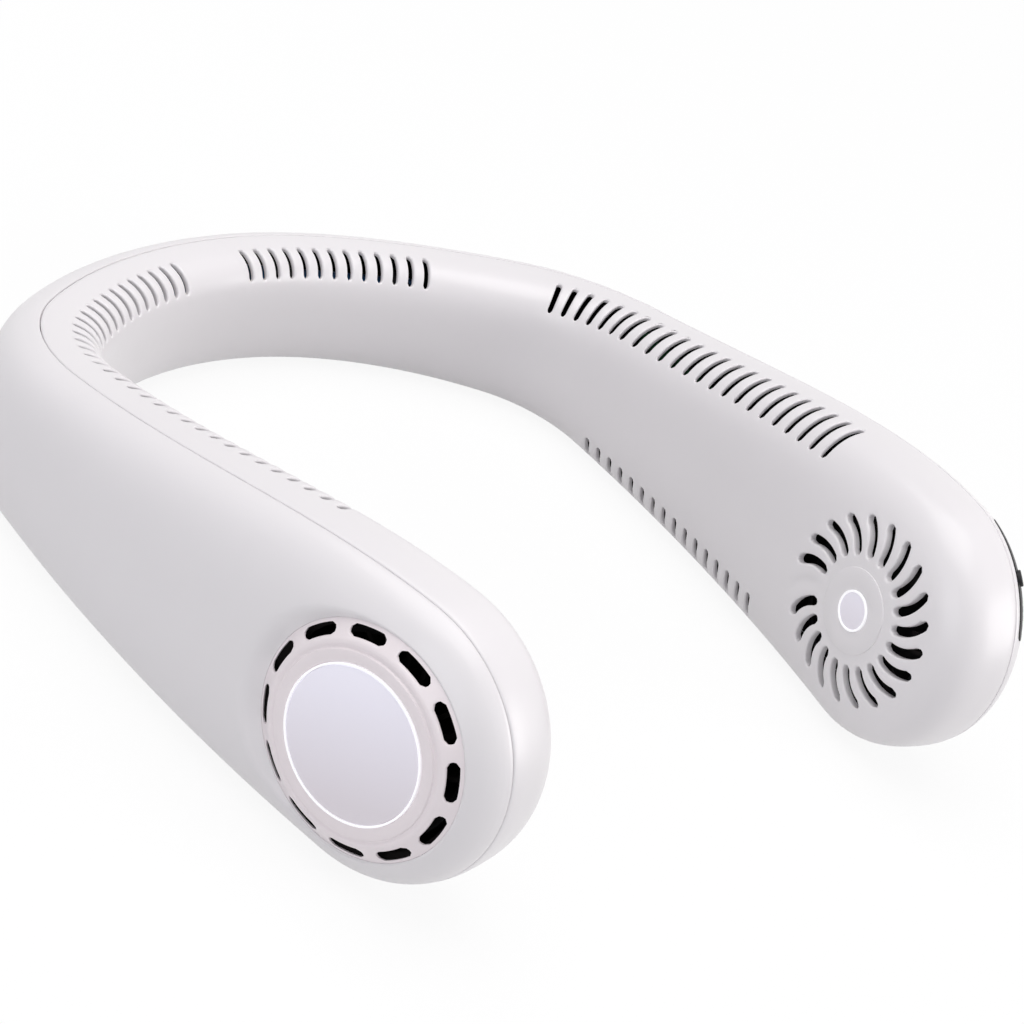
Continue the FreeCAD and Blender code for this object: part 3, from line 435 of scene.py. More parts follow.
HALF_LENGTH = sum(radius * math.radians(angle) for radius, angle in PLAN_ARCS)
fan_x, fan_y, fan_turn = (float(value) for value in plan_station(np.array(HALF_LENGTH)))
BACK_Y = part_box("outer_shell")[1].y / MM - BACK_HALF_THICKNESS
FAN_CENTRE = np.array([fan_x, BACK_Y + fan_y, END_RADIUS - REST_FLAT])
AXIS = np.array([math.sin(fan_turn), math.cos(fan_turn), 0])
UP = np.array([0, 0, 1.0])
TIP = np.cross(AXIS, UP)
print("half length", round(HALF_LENGTH, 2), "fan centre", FAN_CENTRE.round(3))

# %% Sections along the band
BACK_HALF_HEIGHT, END_HALF_THICKNESS = 15.2, 15.4
GROWTH_POWER, SECTION_POWER = 1.5, 3.0
SEAM_OFFSET, SEAM_GAP = 5.6, 0.14


def grown(back, end, share):
    """Size that eases from the back of the band to its ends."""
    return back + (end - back) * (share * share * (3 - 2 * share))


def half_height(length):
    return grown(BACK_HALF_HEIGHT, END_RADIUS, (np.abs(length) / HALF_LENGTH) ** GROWTH_POWER)


def half_thickness(length):
    return grown(BACK_HALF_THICKNESS, END_HALF_THICKNESS, np.abs(length) / HALF_LENGTH)


def place(length, out, up):
    """Points of the section at signed distances along the band."""
    length, out, up = np.broadcast_arrays(np.asarray(length, float), out, up)
    offset_x, offset_y, turn_sum = plan_station(np.abs(length))
    side = np.where(length < 0, -1.0, 1.0)
    east = side * (offset_x + out * np.sin(turn_sum))
    north = BACK_Y + offset_y + out * np.cos(turn_sum)
    return np.stack([east, north, half_height(length) - REST_FLAT + up], -1)


def rounded(turn):
    """Shares of the half thickness and half height on the section, at a turn from its outer side."""
    aside, above = np.cos(turn), np.sin(turn)
    size = (np.abs(aside) ** SECTION_POWER + np.abs(above) ** SECTION_POWER) ** (1 / SECTION_POWER)
    return aside / size, above / size


def third(share):
    """One share of the section from the other."""
    return np.cbrt(np.clip(1 - np.abs(share) ** SECTION_POWER, 0, 1))


def skin(length, turn, inset):
    """Wall of the band at a turn of its section, or a layer inset from it."""
    aside, above = rounded(turn)
    return place(length, (half_thickness(length) - inset) * aside, (half_height(length) - inset) * above)


def side_skin(length, up, side, inset):
    """Wall on the outer (1) or inner (-1) side, at a height above the section's middle."""
    share = third(up / (half_height(length) - inset))
    return place(length, side * (half_thickness(length) - inset) * share, up)


def seam_turn(length, toward):
    """Turn at which the outer (1) or inner (-1) shell meets the seam."""
    share = SEAM_OFFSET / END_HALF_THICKNESS + toward * SEAM_GAP / 2 / half_thickness(length)
    return np.arctan2(third(share), share)


print("section behind the neck", 2 * half_thickness(0), "by", 2 * half_height(0))

# %% Round tips and end faces
ARM_RADIUS = PLAN_ARCS[-1][0]


def on_fan(x, y, q):
    """Points in the right fan's own frame: x up, y to the tip, q outward."""
    x, y, q = (np.asarray(value, float)[..., None] for value in np.broadcast_arrays(x, y, q))
    return FAN_CENTRE + x * UP + y * TIP + q * AXIS


def cap(angle, turn, inset):
    """Round tip of the right end, at an angle from straight up round towards the tip."""
    aside, above = rounded(turn)
    radius = (END_RADIUS - inset) * above
    return on_fan(radius * np.cos(angle), radius * np.sin(angle), (END_HALF_THICKNESS - inset) * aside)


def end_face(plane, side, inset):
    """Skin of the right end over points of the fan's plane, on the outer (1) or inner (-1) side."""
    x, y = plane[..., 0], plane[..., 1]
    thick = END_HALF_THICKNESS - inset
    tip_skin = on_fan(x, y, side * thick * third(np.hypot(x, y) / (END_RADIUS - inset)))
    behind = np.clip(-y, 0, None) / (ARM_RADIUS + side * thick)
    length = HALF_LENGTH - ARM_RADIUS * np.arcsin(behind)
    up = x + FAN_CENTRE[2] - (half_height(length) - REST_FLAT)
    return np.where((y >= 0)[..., None], tip_skin, side_skin(length, up, side, inset))


print("tip of the right end", cap(math.pi / 2, math.pi / 2, 0).round(2))

# %% [markdown]
# ## Sheets with thickness
# Both shells are thin walls with holes in them: seams, air outlets, grilles and openings.
# Holes could be cut by booleans, but those leave long thin faces that shade badly on a curved wall.
# Here each wall is a grid of quads that leaves the holes out; a second layer and rim walls close it.

# %% Building and closing a sheet
MERGE_DISTANCE, SLIVER_LENGTH = 0.004, 0.001
ON_SKIN, ON_INSIDE, ON_RIM = 0, 1, 2
ROUND_PROFILE = 0.5


class Sheet:
    """Skin made of patches, each point with its own point on the inside of the wall."""

    def __init__(self):
        self.mesh = bmesh.new()
        self.inside = self.mesh.verts.layers.float_vector.new("inside")
        self.mark = self.mesh.verts.layers.int.new("mark")

    def patch(self, outer, inner, keep=None, marks=None, around=False):
        """Grid of quads; keep leaves faces out, marks numbers the points, around closes the rows."""
        rows, columns = outer.shape[:2]
        grid = [[self.mesh.verts.new(point) for point in line] for line in outer]
        for row, line in enumerate(grid):
            for column, vert in enumerate(line):
                vert[self.inside] = inner[row, column]
                vert[self.mark] = 0 if marks is None else int(marks[row, column])
        for row in range(rows - 1):
            line, below = grid[row], grid[row + 1]
            for column in range(columns if around else columns - 1):
                if keep is None or keep[row, column]:
                    after = (column + 1) % columns
                    self.mesh.faces.new((line[column], line[after], below[after], below[column]))
        return grid

    def marked(self, edges, mark):
        return [edge for edge in edges if all(vert[self.mark] & mark for vert in edge.verts)]

    def close(self, rim, segments=2, open_mark=0, rim_mark=0):
        """Merge the patches, add the inside and the rim walls, and round the rims of the skin.

        Edges whose points all carry open_mark get no wall; rim_mark limits which rims are rounded."""
        mesh = self.mesh
        loose = [vert for vert in mesh.verts if not vert.link_faces]
        bmesh.ops.delete(mesh, geom=loose, context="VERTS")
        bmesh.ops.remove_doubles(mesh, verts=mesh.verts, dist=MERGE_DISTANCE)
        bmesh.ops.dissolve_degenerate(mesh, edges=mesh.edges, dist=SLIVER_LENGTH)
        bmesh.ops.recalc_face_normals(mesh, faces=mesh.faces)
        part = mesh.faces.layers.int.new("part")
        skin_faces = list(mesh.faces)
        edges = [edge for edge in mesh.edges if len(edge.link_faces) == 1]
        if open_mark:
            left_open = set(self.marked(edges, open_mark))
            edges = [edge for edge in edges if edge not in left_open]
        twin = {vert: mesh.verts.new(vert[self.inside]) for vert in list(mesh.verts)}
        for face in skin_faces:
            back = mesh.faces.new([twin[vert] for vert in reversed(face.verts)])
            back[part] = ON_INSIDE
            # The inside layer takes the second material, the near-black painted shade.
            back.material_index = 1
        for edge in edges:
            first, second = edge.verts
            mesh.faces.new((second, first, twin[first], twin[second]))[part] = ON_RIM
        bmesh.ops.recalc_face_normals(mesh, faces=mesh.faces)
        rims = [edge for edge in edges if {face[part] for face in edge.link_faces} == {ON_SKIN, ON_RIM}]
        if rim_mark:
            rims = self.marked(rims, rim_mark)
        bmesh.ops.bevel(
            mesh, geom=rims, offset=rim, segments=segments, profile=ROUND_PROFILE, affect="EDGES",
            clamp_overlap=False,
        )
        return mesh


print("sheet steps", [name for name in vars(Sheet) if not name.startswith("_")])

# %% Meshes and pieces
SMOOTH_ANGLE = math.radians(38)


def to_mesh(name, work, *slots):
    """Mesh in metres from a bmesh in millimetres, smooth except over sharp edges."""
    mesh = bpy.data.meshes.new(name)
    bmesh.ops.scale(work, vec=(MM, MM, MM), verts=work.verts)
    work.to_mesh(mesh)
    work.free()
    for layer in ("inside", "mark", "part"):
        if layer in mesh.attributes:
            mesh.attributes.remove(mesh.attributes[layer])
    for slot in slots:
        mesh.materials.append(materials[slot])
    mesh.shade_smooth()
    mesh.set_sharp_from_angle(angle=SMOOTH_ANGLE)
    return mesh


def show(name, mesh, body, node):
    """Object for a mesh that stands for a node and moves with a body."""
    piece = bpy.data.objects.new(name, mesh)
    scene.collection.objects.link(piece)
    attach(piece, body)
    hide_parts(node)
    print(name, len(mesh.polygons), "faces")


print("smooth below", round(math.degrees(SMOOTH_ANGLE)), "degrees")

# %% [markdown]
# ## The inner shell
# The inner shell is what touches the neck: it carries the rows of air outlets and a grille at each end.
# The outlets sit on lines of the grid, so the grid gets extra lines there and each slot is left-out faces.
# A slot's end rows are pushed out to half circles, and closing the sheet rounds every rim as a mould does.

# %% Stations of the inner shell
OUTLET_WIDTH, OUTLET_PITCH = 1.5, 4.48
ARM_START, ARM_COUNT, LOWER_SKIP = 84.0, 23, 7
BACK_GROUPS = ((-79.3, 12), (-6.0, 13))
SLOT_LINES = np.array([-1, -0.5, 0, 0.5, 1])
END_REACH, LINE_GAP = 31.0, 2.0

slots = [
    (side * (ARM_START + OUTLET_PITCH * index), index >= LOWER_SKIP)
    for side in (-1, 1) for index in range(ARM_COUNT)
]
slots += [(first + OUTLET_PITCH * index, False) for first, count in BACK_GROUPS for index in range(count)]
slots.sort()
face_start = HALF_LENGTH - END_REACH


def stations_between(first, last, gap):
    steps = max(1, math.ceil((last - first) / gap))
    return list(first + (last - first) * np.arange(steps) / steps)


stations, slot_columns = [], []
here = -face_start
for middle, both in slots:
    stations += stations_between(here, middle - OUTLET_WIDTH / 2, LINE_GAP)
    slot_columns.append((len(stations), both))
    stations += list(middle + OUTLET_WIDTH / 2 * SLOT_LINES[:-1])
    here = middle + OUTLET_WIDTH / 2
stations += stations_between(here, face_start, LINE_GAP) + [face_start]
stations = np.array(stations)
print("stations", len(stations), "air outlets", sum(2 if both else 1 for _, both in slots))

# %% Rows of the inner shell, and its outlets
SLOT_HIGH, LOWER_HIGH, FACE_TURN, SLOT_LOW, LOWER_LOW = np.radians([104.9, 128.1, 132.0, 136.9, 142.4])
ROW_STEPS = (8, 5, 1, 1, 1, 21, 1, 1, 1, 5, 8)
# Rows at which the upper outlets, the end faces and the lower outlets begin or end.
HIGH_ROW, FACE_ROW, LOW_ROW, LAST_ROW = 8, 14, 15, sum(ROW_STEPS)
LOWER_ROWS = (LAST_ROW - 16, LAST_ROW - 13)
TURN_STEP = 0.01


def spaced(stops, steps):
    """Values from stop to stop, with a number of even steps between each two."""
    values = [stops[:1]]
    for first, last, count in zip(stops, stops[1:], steps):
        values.append(first + (last - first) * (np.arange(1, count + 1) / count))
    return np.concatenate(values)


def inner_turns(length):
    """Turns of the grid's rows at each distance along the band."""
    rows = []
    for start in np.atleast_1d(seam_turn(length, -1)):
        stops = np.array([start, SLOT_HIGH, LOWER_HIGH, FACE_TURN, SLOT_LOW, LOWER_LOW])
        rows.append(spaced(np.concatenate([stops, 2 * math.pi - stops[::-1]]), ROW_STEPS))
    return np.array(rows)


turns = inner_turns(stations)
keep = np.ones((len(stations) - 1, LAST_ROW), bool)
bulge = OUTLET_WIDTH / 2 * np.sqrt(1 - SLOT_LINES ** 2)
for first_column, both in slot_columns:
    columns = np.arange(first_column, first_column + len(SLOT_LINES))
    for top, bottom in [(HIGH_ROW, LOW_ROW)] + ([LOWER_ROWS] if both else []):
        for row, way in ((top, -1), (bottom, 1)):
            here = skin(stations[columns], turns[columns, row], 0)
            nearby = skin(stations[columns], turns[columns, row] + TURN_STEP, 0)
            turns[columns, row] += way * bulge / (np.linalg.norm(nearby - here, axis=-1) / TURN_STEP)
        keep[columns[:-1], top:bottom] = False
print("rows", LAST_ROW + 1, "faces left out", int((~keep).sum()))

# %% [markdown]
# ## The swirl grille
# Each inner face has a ring of bent slots round a flat hub, and one place of the ring is left closed.
# A ring of bent slots could be instanced cutters, but then the wall round them would be cut to pieces.
# The grid turns with the slots instead: its columns follow the slot edges, and slots are left-out faces.

# %% Columns of the swirl grille
GRILLE_COUNT, GRILLE_CLOSED, GRILLE_ROWS = 21, 15, 9
GRILLE_INNER, GRILLE_OUTER, GRILLE_WIDTH, GRILLE_BEND = 12.6, 22.2, 2.3, 9.2
RING_ANGLES = np.radians([-15.0, -12.5, -10.3, -8.2, -6.0, -2.0])
PLACE_COLUMNS, LAST_LINE = len(RING_ANGLES), len(SLOT_LINES) - 1


def bend_sweep(inner, outer, bend):
    """Turn of an arc of radius bend that leads from one radius about the axis to another."""
    reach, spread = 2 * inner * bend, 2 * bend ** 2
    rest = outer ** 2 - inner ** 2 - spread
    return math.atan2(spread, reach) + math.asin(rest / math.hypot(reach, spread))


bend_x = GRILLE_INNER + GRILLE_WIDTH / 2
sweep = bend_sweep(bend_x, GRILLE_OUTER - GRILLE_WIDTH / 2, GRILLE_BEND)
swept = np.linspace(0, sweep, GRILLE_ROWS)
swirl = np.zeros((GRILLE_ROWS, GRILLE_COUNT * PLACE_COLUMNS, 2))
swirl_keep = np.ones((GRILLE_ROWS - 1, swirl.shape[1]), bool)
starts = PLACE_COLUMNS * np.arange(GRILLE_COUNT)
for index, start in enumerate(starts):
    angle = 2 * math.pi * index / GRILLE_COUNT
    spin = np.array([[math.cos(angle), math.sin(angle)], [-math.sin(angle), math.cos(angle)]])
    for column, offset in enumerate(SLOT_LINES):
        radius = GRILLE_BEND + offset * GRILLE_WIDTH / 2
        line = np.stack([bend_x + radius * np.sin(swept), radius * np.cos(swept) - GRILLE_BEND], -1)
        bulge = GRILLE_WIDTH / 2 * math.sqrt(1 - offset ** 2)
        line[0] -= [bulge, 0]
        line[-1] += [bulge * math.cos(sweep), -bulge * math.sin(sweep)]
        swirl[:, start + column] = line @ spin
    swirl_keep[:, start:start + LAST_LINE] = index == GRILLE_CLOSED
swirl[:, starts + LAST_LINE + 1] = (swirl[:, starts + LAST_LINE] + swirl[:, np.roll(starts, -1)]) / 2
ring_angles = (2 * math.pi * np.arange(GRILLE_COUNT)[:, None] / GRILLE_COUNT + RING_ANGLES).ravel()
inner_angles = np.arctan2(swirl[0, :, 1], swirl[0, :, 0])
print("swirl columns", swirl.shape[1], "sweep", round(math.degrees(sweep), 1))

# %% Rings of the inner end face
WALL, FACE_RADIUS, HUB_FACE = 1.1, 23.9, 15.55
CAP_STEPS, SIDE_STEPS = 63, 19
BRIDGE_SHARES = (0, 0.3, 0.6, 0.85, 1)
HUB_RADII = (11.3, 10.0)
# Radius and height, from the hub's edge to the hollow of the small disc.
HUB_PROFILE = np.array([(9.97, 15.48), (9.85, HUB_FACE), (5.05, HUB_FACE), (4.92, 15.50), (4.9, 15.05)])


def fan_plane(points):
    """Plane coordinates, up and towards the tip, of points near the right end."""
    offset = points - FAN_CENTRE
    return np.stack([offset @ UP, offset @ TIP], -1)


def circle(radius, angles):
    return np.stack([radius * np.cos(angles), radius * np.sin(angles)], -1)


def bridge(outer_loop, inner_loop, shares):
    """Rings of plane points from one loop to another."""
    return np.array([outer_loop + (inner_loop - outer_loop) * share for share in shares])


def end_loop(lengths, top_turn, arm_turns, angles, inset):
    """Boundary of an end face on the skin, from the top corner on the arm round by the tip."""
    top = skin(lengths, np.full_like(lengths, top_turn), inset)
    tip = cap(angles, np.full_like(angles, top_turn), inset)
    below = skin(lengths[::-1], np.full_like(lengths, -top_turn), inset)
    arm = skin(np.full_like(arm_turns, lengths[0]), arm_turns, inset)
    return np.concatenate([top[:-1], tip[:-1], below[:-1], arm[:-1]])


def aligned(loops, first_angle):
    """Loops rolled so that they start at an angle on the fan's plane."""
    flat = fan_plane(loops[0])
    off = np.angle(np.exp(1j * (np.arctan2(flat[:, 1], flat[:, 0]) - first_angle)))
    return [np.roll(loop, -int(np.argmin(np.abs(off))), 0) for loop in loops]


end_lengths = np.linspace(face_start, HALF_LENGTH, SIDE_STEPS + 1)
end_turns = inner_turns(end_lengths)
cap_angles = np.linspace(0, math.pi, CAP_STEPS + 1)
cap_turns = np.tile(inner_turns(HALF_LENGTH)[0, :FACE_ROW + 1], (CAP_STEPS + 1, 1))
arm_turns = inner_turns(face_start)[0, FACE_ROW:LAST_ROW - FACE_ROW + 1][::-1]
loops = [end_loop(end_lengths, FACE_TURN, arm_turns, cap_angles, inset) for inset in (0, WALL)]
loops = aligned(loops, ring_angles[0])
outside = bridge(fan_plane(loops[0]), circle(FACE_RADIUS, ring_angles), BRIDGE_SHARES)
hub_rings = [circle(radius, inner_angles) for radius in HUB_RADII]
plane = np.concatenate([outside, swirl[::-1], hub_rings])
grille_rows = slice(len(outside), len(outside) + GRILLE_ROWS - 1)
face_keep = np.ones((len(plane) + len(HUB_PROFILE) - 1, swirl.shape[1]), bool)
face_keep[grille_rows] = swirl_keep[::-1]
hub_plane = np.array([circle(radius, inner_angles) for radius in HUB_PROFILE[:, 0]])
print("rings of an inner end face", len(plane) + len(hub_plane))

# %% Assemble the inner shell
GRILLE_WALL, TRACE_DEPTH = 1.8, 0.3
SLOT_RIM_SIZE, SLOT_RIM_STEPS = 0.5, 3


def as_drawn(points):
    return points


def mirrored(points):
    return points * np.array([-1.0, 1.0, 1.0])


def wall_patch(sheet, flip, form, first, turns, keep=None):
    """Patch of the casing's wall, whose skin is cut level where it rests on the floor."""
    outer = form(first, turns, 0)
    outer[..., 2] = np.maximum(outer[..., 2], 0)
    sheet.patch(flip(outer), flip(form(first, turns, WALL)), keep)


outer, inner = end_face(plane, -1, 0), end_face(plane, -1, GRILLE_WALL)
outer[0], inner[0] = loops
first_column = GRILLE_CLOSED * PLACE_COLUMNS
trace_columns = slice(first_column + 1, first_column + LAST_LINE)
outer[grille_rows.start + 1:grille_rows.stop, trace_columns] += TRACE_DEPTH * AXIS
hub_x, hub_y = hub_plane[..., 0], hub_plane[..., 1]
outer = np.concatenate([outer, on_fan(hub_x, hub_y, -HUB_PROFILE[:, 1:])])
inner = np.concatenate([inner, on_fan(hub_x, hub_y, GRILLE_WALL - HUB_FACE)])

inner_sheet = Sheet()
wall_patch(inner_sheet, as_drawn, skin, stations[:, None], turns, keep)
for flip in (as_drawn, mirrored):
    for rows in (slice(0, FACE_ROW + 1), slice(LAST_ROW - FACE_ROW, LAST_ROW + 1)):
        wall_patch(inner_sheet, flip, skin, end_lengths[:, None], end_turns[:, rows])
    wall_patch(inner_sheet, flip, cap, cap_angles[:, None], cap_turns)
    points = inner_sheet.patch(flip(outer), flip(inner), face_keep, around=True)
    inner_sheet.mesh.faces.new(points[-1])
inner_work = inner_sheet.close(SLOT_RIM_SIZE, SLOT_RIM_STEPS)
inner_mesh = to_mesh("inner_shell", inner_work, "casing_white", "inside_painted_shade")
show("casing_inner", inner_mesh, "casing", "inner_shell")

# %% [markdown]
# ## The outer shell
# The outer shell closes the band from outside, with a dished opening at each end for the intake cover.
# The dish is a shallow cone that runs into the curved skin, so its edge is found point by point on each ray.
# Grid rings then lead from that edge to the seam, and the charging socket gets a small ring grid of its own.

# %% Lines of the outer shell
OUTER_REACH, OUTER_FACE_TURN, POCKET_TURN = 38.0, math.radians(45.7), math.radians(64.2)
POCKET_SHARES = np.array([0, 0.7, 0.92, 1])
OUTER_STEPS = (2, 2, 3, 4, 24, 4, 3, 2, 2)
OUTER_FACE_ROW, OUTER_LAST = 11, sum(OUTER_STEPS)
SOCKET_PLACE, SOCKET_SPAN, SOCKET_CELLS, SOCKET_ROWS = 122.0, 9.0, 10, 3


def outer_turns(length):
    """Turns of the outer grid's rows, from the lower seam to the upper one."""
    rows = []
    for start in np.atleast_1d(seam_turn(length, 1)):
        stops = np.array([*(OUTER_FACE_TURN + (POCKET_TURN - OUTER_FACE_TURN) * POCKET_SHARES), start])
        rows.append(spaced(np.concatenate([-stops[::-1], stops]), OUTER_STEPS))
    return np.array(rows)


outer_start = HALF_LENGTH - OUTER_REACH
socket_ends = (SOCKET_PLACE - SOCKET_SPAN, SOCKET_PLACE + SOCKET_SPAN)
lines = stations_between(-outer_start, socket_ends[0], LINE_GAP)
first_cell = len(lines)
lines += list(np.linspace(*socket_ends, SOCKET_CELLS + 1)[:-1])
lines += stations_between(socket_ends[1], outer_start, LINE_GAP) + [outer_start]
lines = np.array(lines)
turns = outer_turns(lines)
first_row, last_row = OUTER_LAST // 2 - SOCKET_ROWS, OUTER_LAST // 2 + SOCKET_ROWS
keep = np.ones((len(lines) - 1, OUTER_LAST), bool)
keep[first_cell:first_cell + SOCKET_CELLS, first_row:last_row] = False
outer_sheet = Sheet()
wall_patch(outer_sheet, as_drawn, skin, lines[:, None], turns, keep)
print("outer stations", len(lines))

# %% Ring grid of the charging socket
SOCKET_LENGTH, SOCKET_HEIGHT = 9.4, 3.7
SOCKET_SHARES = (0, 0.4, 0.75, 1)
box_lengths = lines[first_cell:first_cell + SOCKET_CELLS + 1]
box_turns = turns[0, first_row:last_row + 1]
flat_side, steep_side = np.ones(SOCKET_CELLS), np.ones(2 * SOCKET_ROWS)
loop_lengths = np.concatenate([
    box_lengths[:-1], box_lengths[-1] * steep_side, box_lengths[:0:-1], box_lengths[0] * steep_side,
])
loop_turns = np.concatenate([
    box_turns[-1] * flat_side, box_turns[:0:-1], box_turns[0] * flat_side, box_turns[:-1],
])
box_loop = np.stack([loop_lengths, half_height(loop_lengths) * rounded(loop_turns)[1]], -1)
round_end = SOCKET_HEIGHT / 2
straight = (SOCKET_LENGTH - SOCKET_HEIGHT) / 2
along = np.linspace(-straight, straight, SOCKET_CELLS + 1)[:-1]
bow = np.linspace(math.pi / 2, -math.pi / 2, 2 * SOCKET_ROWS + 1)[:-1]
top_run = np.stack([along, np.full_like(along, round_end)], -1)
half_loop = np.concatenate([top_run, [straight, 0] + circle(round_end, bow)])
stadium = np.concatenate([half_loop, -half_loop]) + [SOCKET_PLACE, 0]
stadium[:, 1] += half_height(SOCKET_PLACE) - half_height(stadium[:, 0])
rings = bridge(box_loop, stadium, SOCKET_SHARES)
walls = [side_skin(rings[..., 0], rings[..., 1], 1, inset) for inset in (0, WALL)]
outer_sheet.patch(*walls, around=True)
print("socket ring", rings.shape[:2])

# %% Dish of the outer end faces
OPENING_RADIUS, DISH_REACH, DISH_STEPS, RIM_FACE, RIM_DROP = 24.1, 5.2, 93, 12.05, 3.3
EDGE_EASE, EASE_SHARE, LEAST_DISH, LIP_SINK = 1.6, 0.45, 0.25, 0.15
OUTER_SIDE_STEPS, POCKET_ANGLES, OUTER_CAP_STEPS = 18, np.radians([5.9, 64.1]), (3, 20, 38)
LOOP_START = -math.pi / 3
top_rows = slice(OUTER_LAST - OUTER_FACE_ROW, OUTER_LAST + 1)
end_lengths = np.linspace(outer_start, HALF_LENGTH, OUTER_SIDE_STEPS + 1)
end_turns = outer_turns(end_lengths)
cap_angles = spaced(np.array([0, *POCKET_ANGLES, math.pi]), OUTER_CAP_STEPS)
cap_turns = np.tile(outer_turns(HALF_LENGTH)[0, top_rows], (len(cap_angles), 1))
arm_turns = outer_turns(outer_start)[0, OUTER_FACE_ROW:OUTER_LAST - OUTER_FACE_ROW + 1]
loops = [end_loop(end_lengths, OUTER_FACE_TURN, arm_turns, cap_angles, inset) for inset in (0, WALL)]
count = len(loops[0])
even = 2 * math.pi * np.arange(count) / count + LOOP_START
loops = aligned(loops, even[0])


def height_on_fan(plane):
    return (end_face(plane, 1, 0) - FAN_CENTRE) @ AXIS


reaches = np.linspace(OPENING_RADIUS, OPENING_RADIUS + DISH_REACH, DISH_STEPS)
cone = RIM_FACE + (reaches - OPENING_RADIUS) * RIM_DROP / DISH_REACH
dish_edge = np.full(count, reaches[-1])
for index, angle in enumerate(even):
    met = np.nonzero(height_on_fan(circle(reaches, angle)) <= cone)[0]
    dish_edge[index] = max(reaches[met[0]] if len(met) else reaches[-1], OPENING_RADIUS + LEAST_DISH)
dish_width = dish_edge - OPENING_RADIUS
ease_reach = np.minimum(EDGE_EASE, EASE_SHARE * dish_width)[:, None]
edge_loop = dish_edge[:, None] * circle(1, even)
lip_loop = circle(OPENING_RADIUS, even)
lip_height = np.minimum(RIM_FACE, height_on_fan(lip_loop) - LIP_SINK)
edge = on_fan(*edge_loop.T, height_on_fan(edge_loop))
lip = on_fan(*lip_loop.T, lip_height)
print("dish reaches", dish_width.min().round(2), "to", dish_width.max().round(2), "mm")

# %% Rings of the outer end faces
OUTER_SHARES, EASE_STEPS = (0, 0.35, 0.7, 1), 4
COLLAR_FACE, COLLAR_OUTER, COLLAR_DROPS = 9.4, 26.6, (1.2, 1.8)
plane = bridge(fan_plane(loops[0]), edge_loop + ease_reach * circle(1, even), OUTER_SHARES)
skin_rings, inside_rings = (end_face(plane, 1, inset) for inset in (0, WALL))
skin_rings[0], inside_rings[0] = loops
on_cone = edge + (lip - edge) * ease_reach / dish_width[:, None]
shares = (np.arange(1, EASE_STEPS + 1) / EASE_STEPS)[:, None, None]
eased = (1 - shares) ** 2 * skin_rings[-1] + 2 * shares * (1 - shares) * edge + shares ** 2 * on_cone
collar_loop = circle(COLLAR_OUTER, even)
collar = [on_fan(*collar_loop.T, lip_height - drop) for drop in COLLAR_DROPS]
behind = inside_rings[-1] + (collar[0] - inside_rings[-1]) * shares
foot, collar_foot = (on_fan(*loop.T, COLLAR_FACE) for loop in (lip_loop, collar_loop))
outer = np.concatenate([skin_rings, eased, [lip, foot]])
inner = np.concatenate([inside_rings, behind, [collar[1], collar_foot]])
print("rings of an outer end face", len(outer))

# %% Assemble the outer shell
CORNER_TURN, CORNER_ZONE, CORNER_START = math.radians(3.9), math.radians(12.0), 0.7
POCKET_ROWS, SEAM_RIM = 9, 0.2
pocket = np.ones((len(cap_angles) - 1, OUTER_FACE_ROW), bool)
pocket[OUTER_CAP_STEPS[0]:OUTER_CAP_STEPS[0] + OUTER_CAP_STEPS[1], :POCKET_ROWS] = False


def corner_shift(share):
    """How far the strip's end draws back at a share of its width, so that its upper corners are round."""
    risen = np.clip((share - CORNER_START) / (1 - CORNER_START), 0, 1)
    return CORNER_TURN * (1 - np.sqrt(1 - risen ** 2))


def drawn_in(angles, shift, ends):
    """Angles round the tip, moved inwards at both ends of the strip and less beside them."""
    first, last = ends
    stops = (0, first, first + CORNER_ZONE, last - CORNER_ZONE, last, last + CORNER_ZONE)
    return angles + shift * np.interp(angles, stops, (0, 1, 0, 0, -1, 0))


tip_shares = (cap_turns[0] - OUTER_FACE_TURN) / (POCKET_TURN - OUTER_FACE_TURN)
tip_shifts = corner_shift(tip_shares) * np.interp(tip_shares, (1, tip_shares[-1]), (1, 0))
tip_angles = drawn_in(cap_angles[:, None], tip_shifts, POCKET_ANGLES)
for flip in (as_drawn, mirrored):
    for rows in (slice(0, OUTER_FACE_ROW + 1), top_rows):
        wall_patch(outer_sheet, flip, skin, end_lengths[:, None], end_turns[:, rows])
    wall_patch(outer_sheet, flip, cap, tip_angles, cap_turns, None if flip is mirrored else pocket)
    outer_sheet.patch(flip(outer), flip(inner), around=True)
outer_mesh = to_mesh("outer_shell", outer_sheet.close(SEAM_RIM), "casing_white", "inside_painted_shade")
show("casing_outer", outer_mesh, "casing", "outer_shell")

# %% [markdown]
# ## The control strip
# A dark glossy strip lies in a pocket of the right tip, with a hole for the button and four for the lights.
# It could be cut out of a curved plate, but as a grid it shares the rule of the skin and stands just proud.
# Two rows of the grid part round each hole, and the ends draw back at the top like the pocket's corners.

# %% Lines of the control strip
STRIP_ENDS = np.radians([6.0, 64.0])
STRIP_SHARES, HOLE_SHARE = (0.78, 0.47), 0.61
# Angle round the tip, radius, and number of grid lines over each hole.
BUTTON_HOLE = (math.radians(36.0), 2.2, 10)
LIGHT_HOLES = [(math.radians(48.0 + 4.0 * index), 0.55, 6) for index in range(4)]
STRIP_GAP, MEASURE_STEPS = math.radians(2.6), 300


def share_turn(share):
    """Turn of the section at a share of its half thickness."""
    return math.atan2(third(share), share)


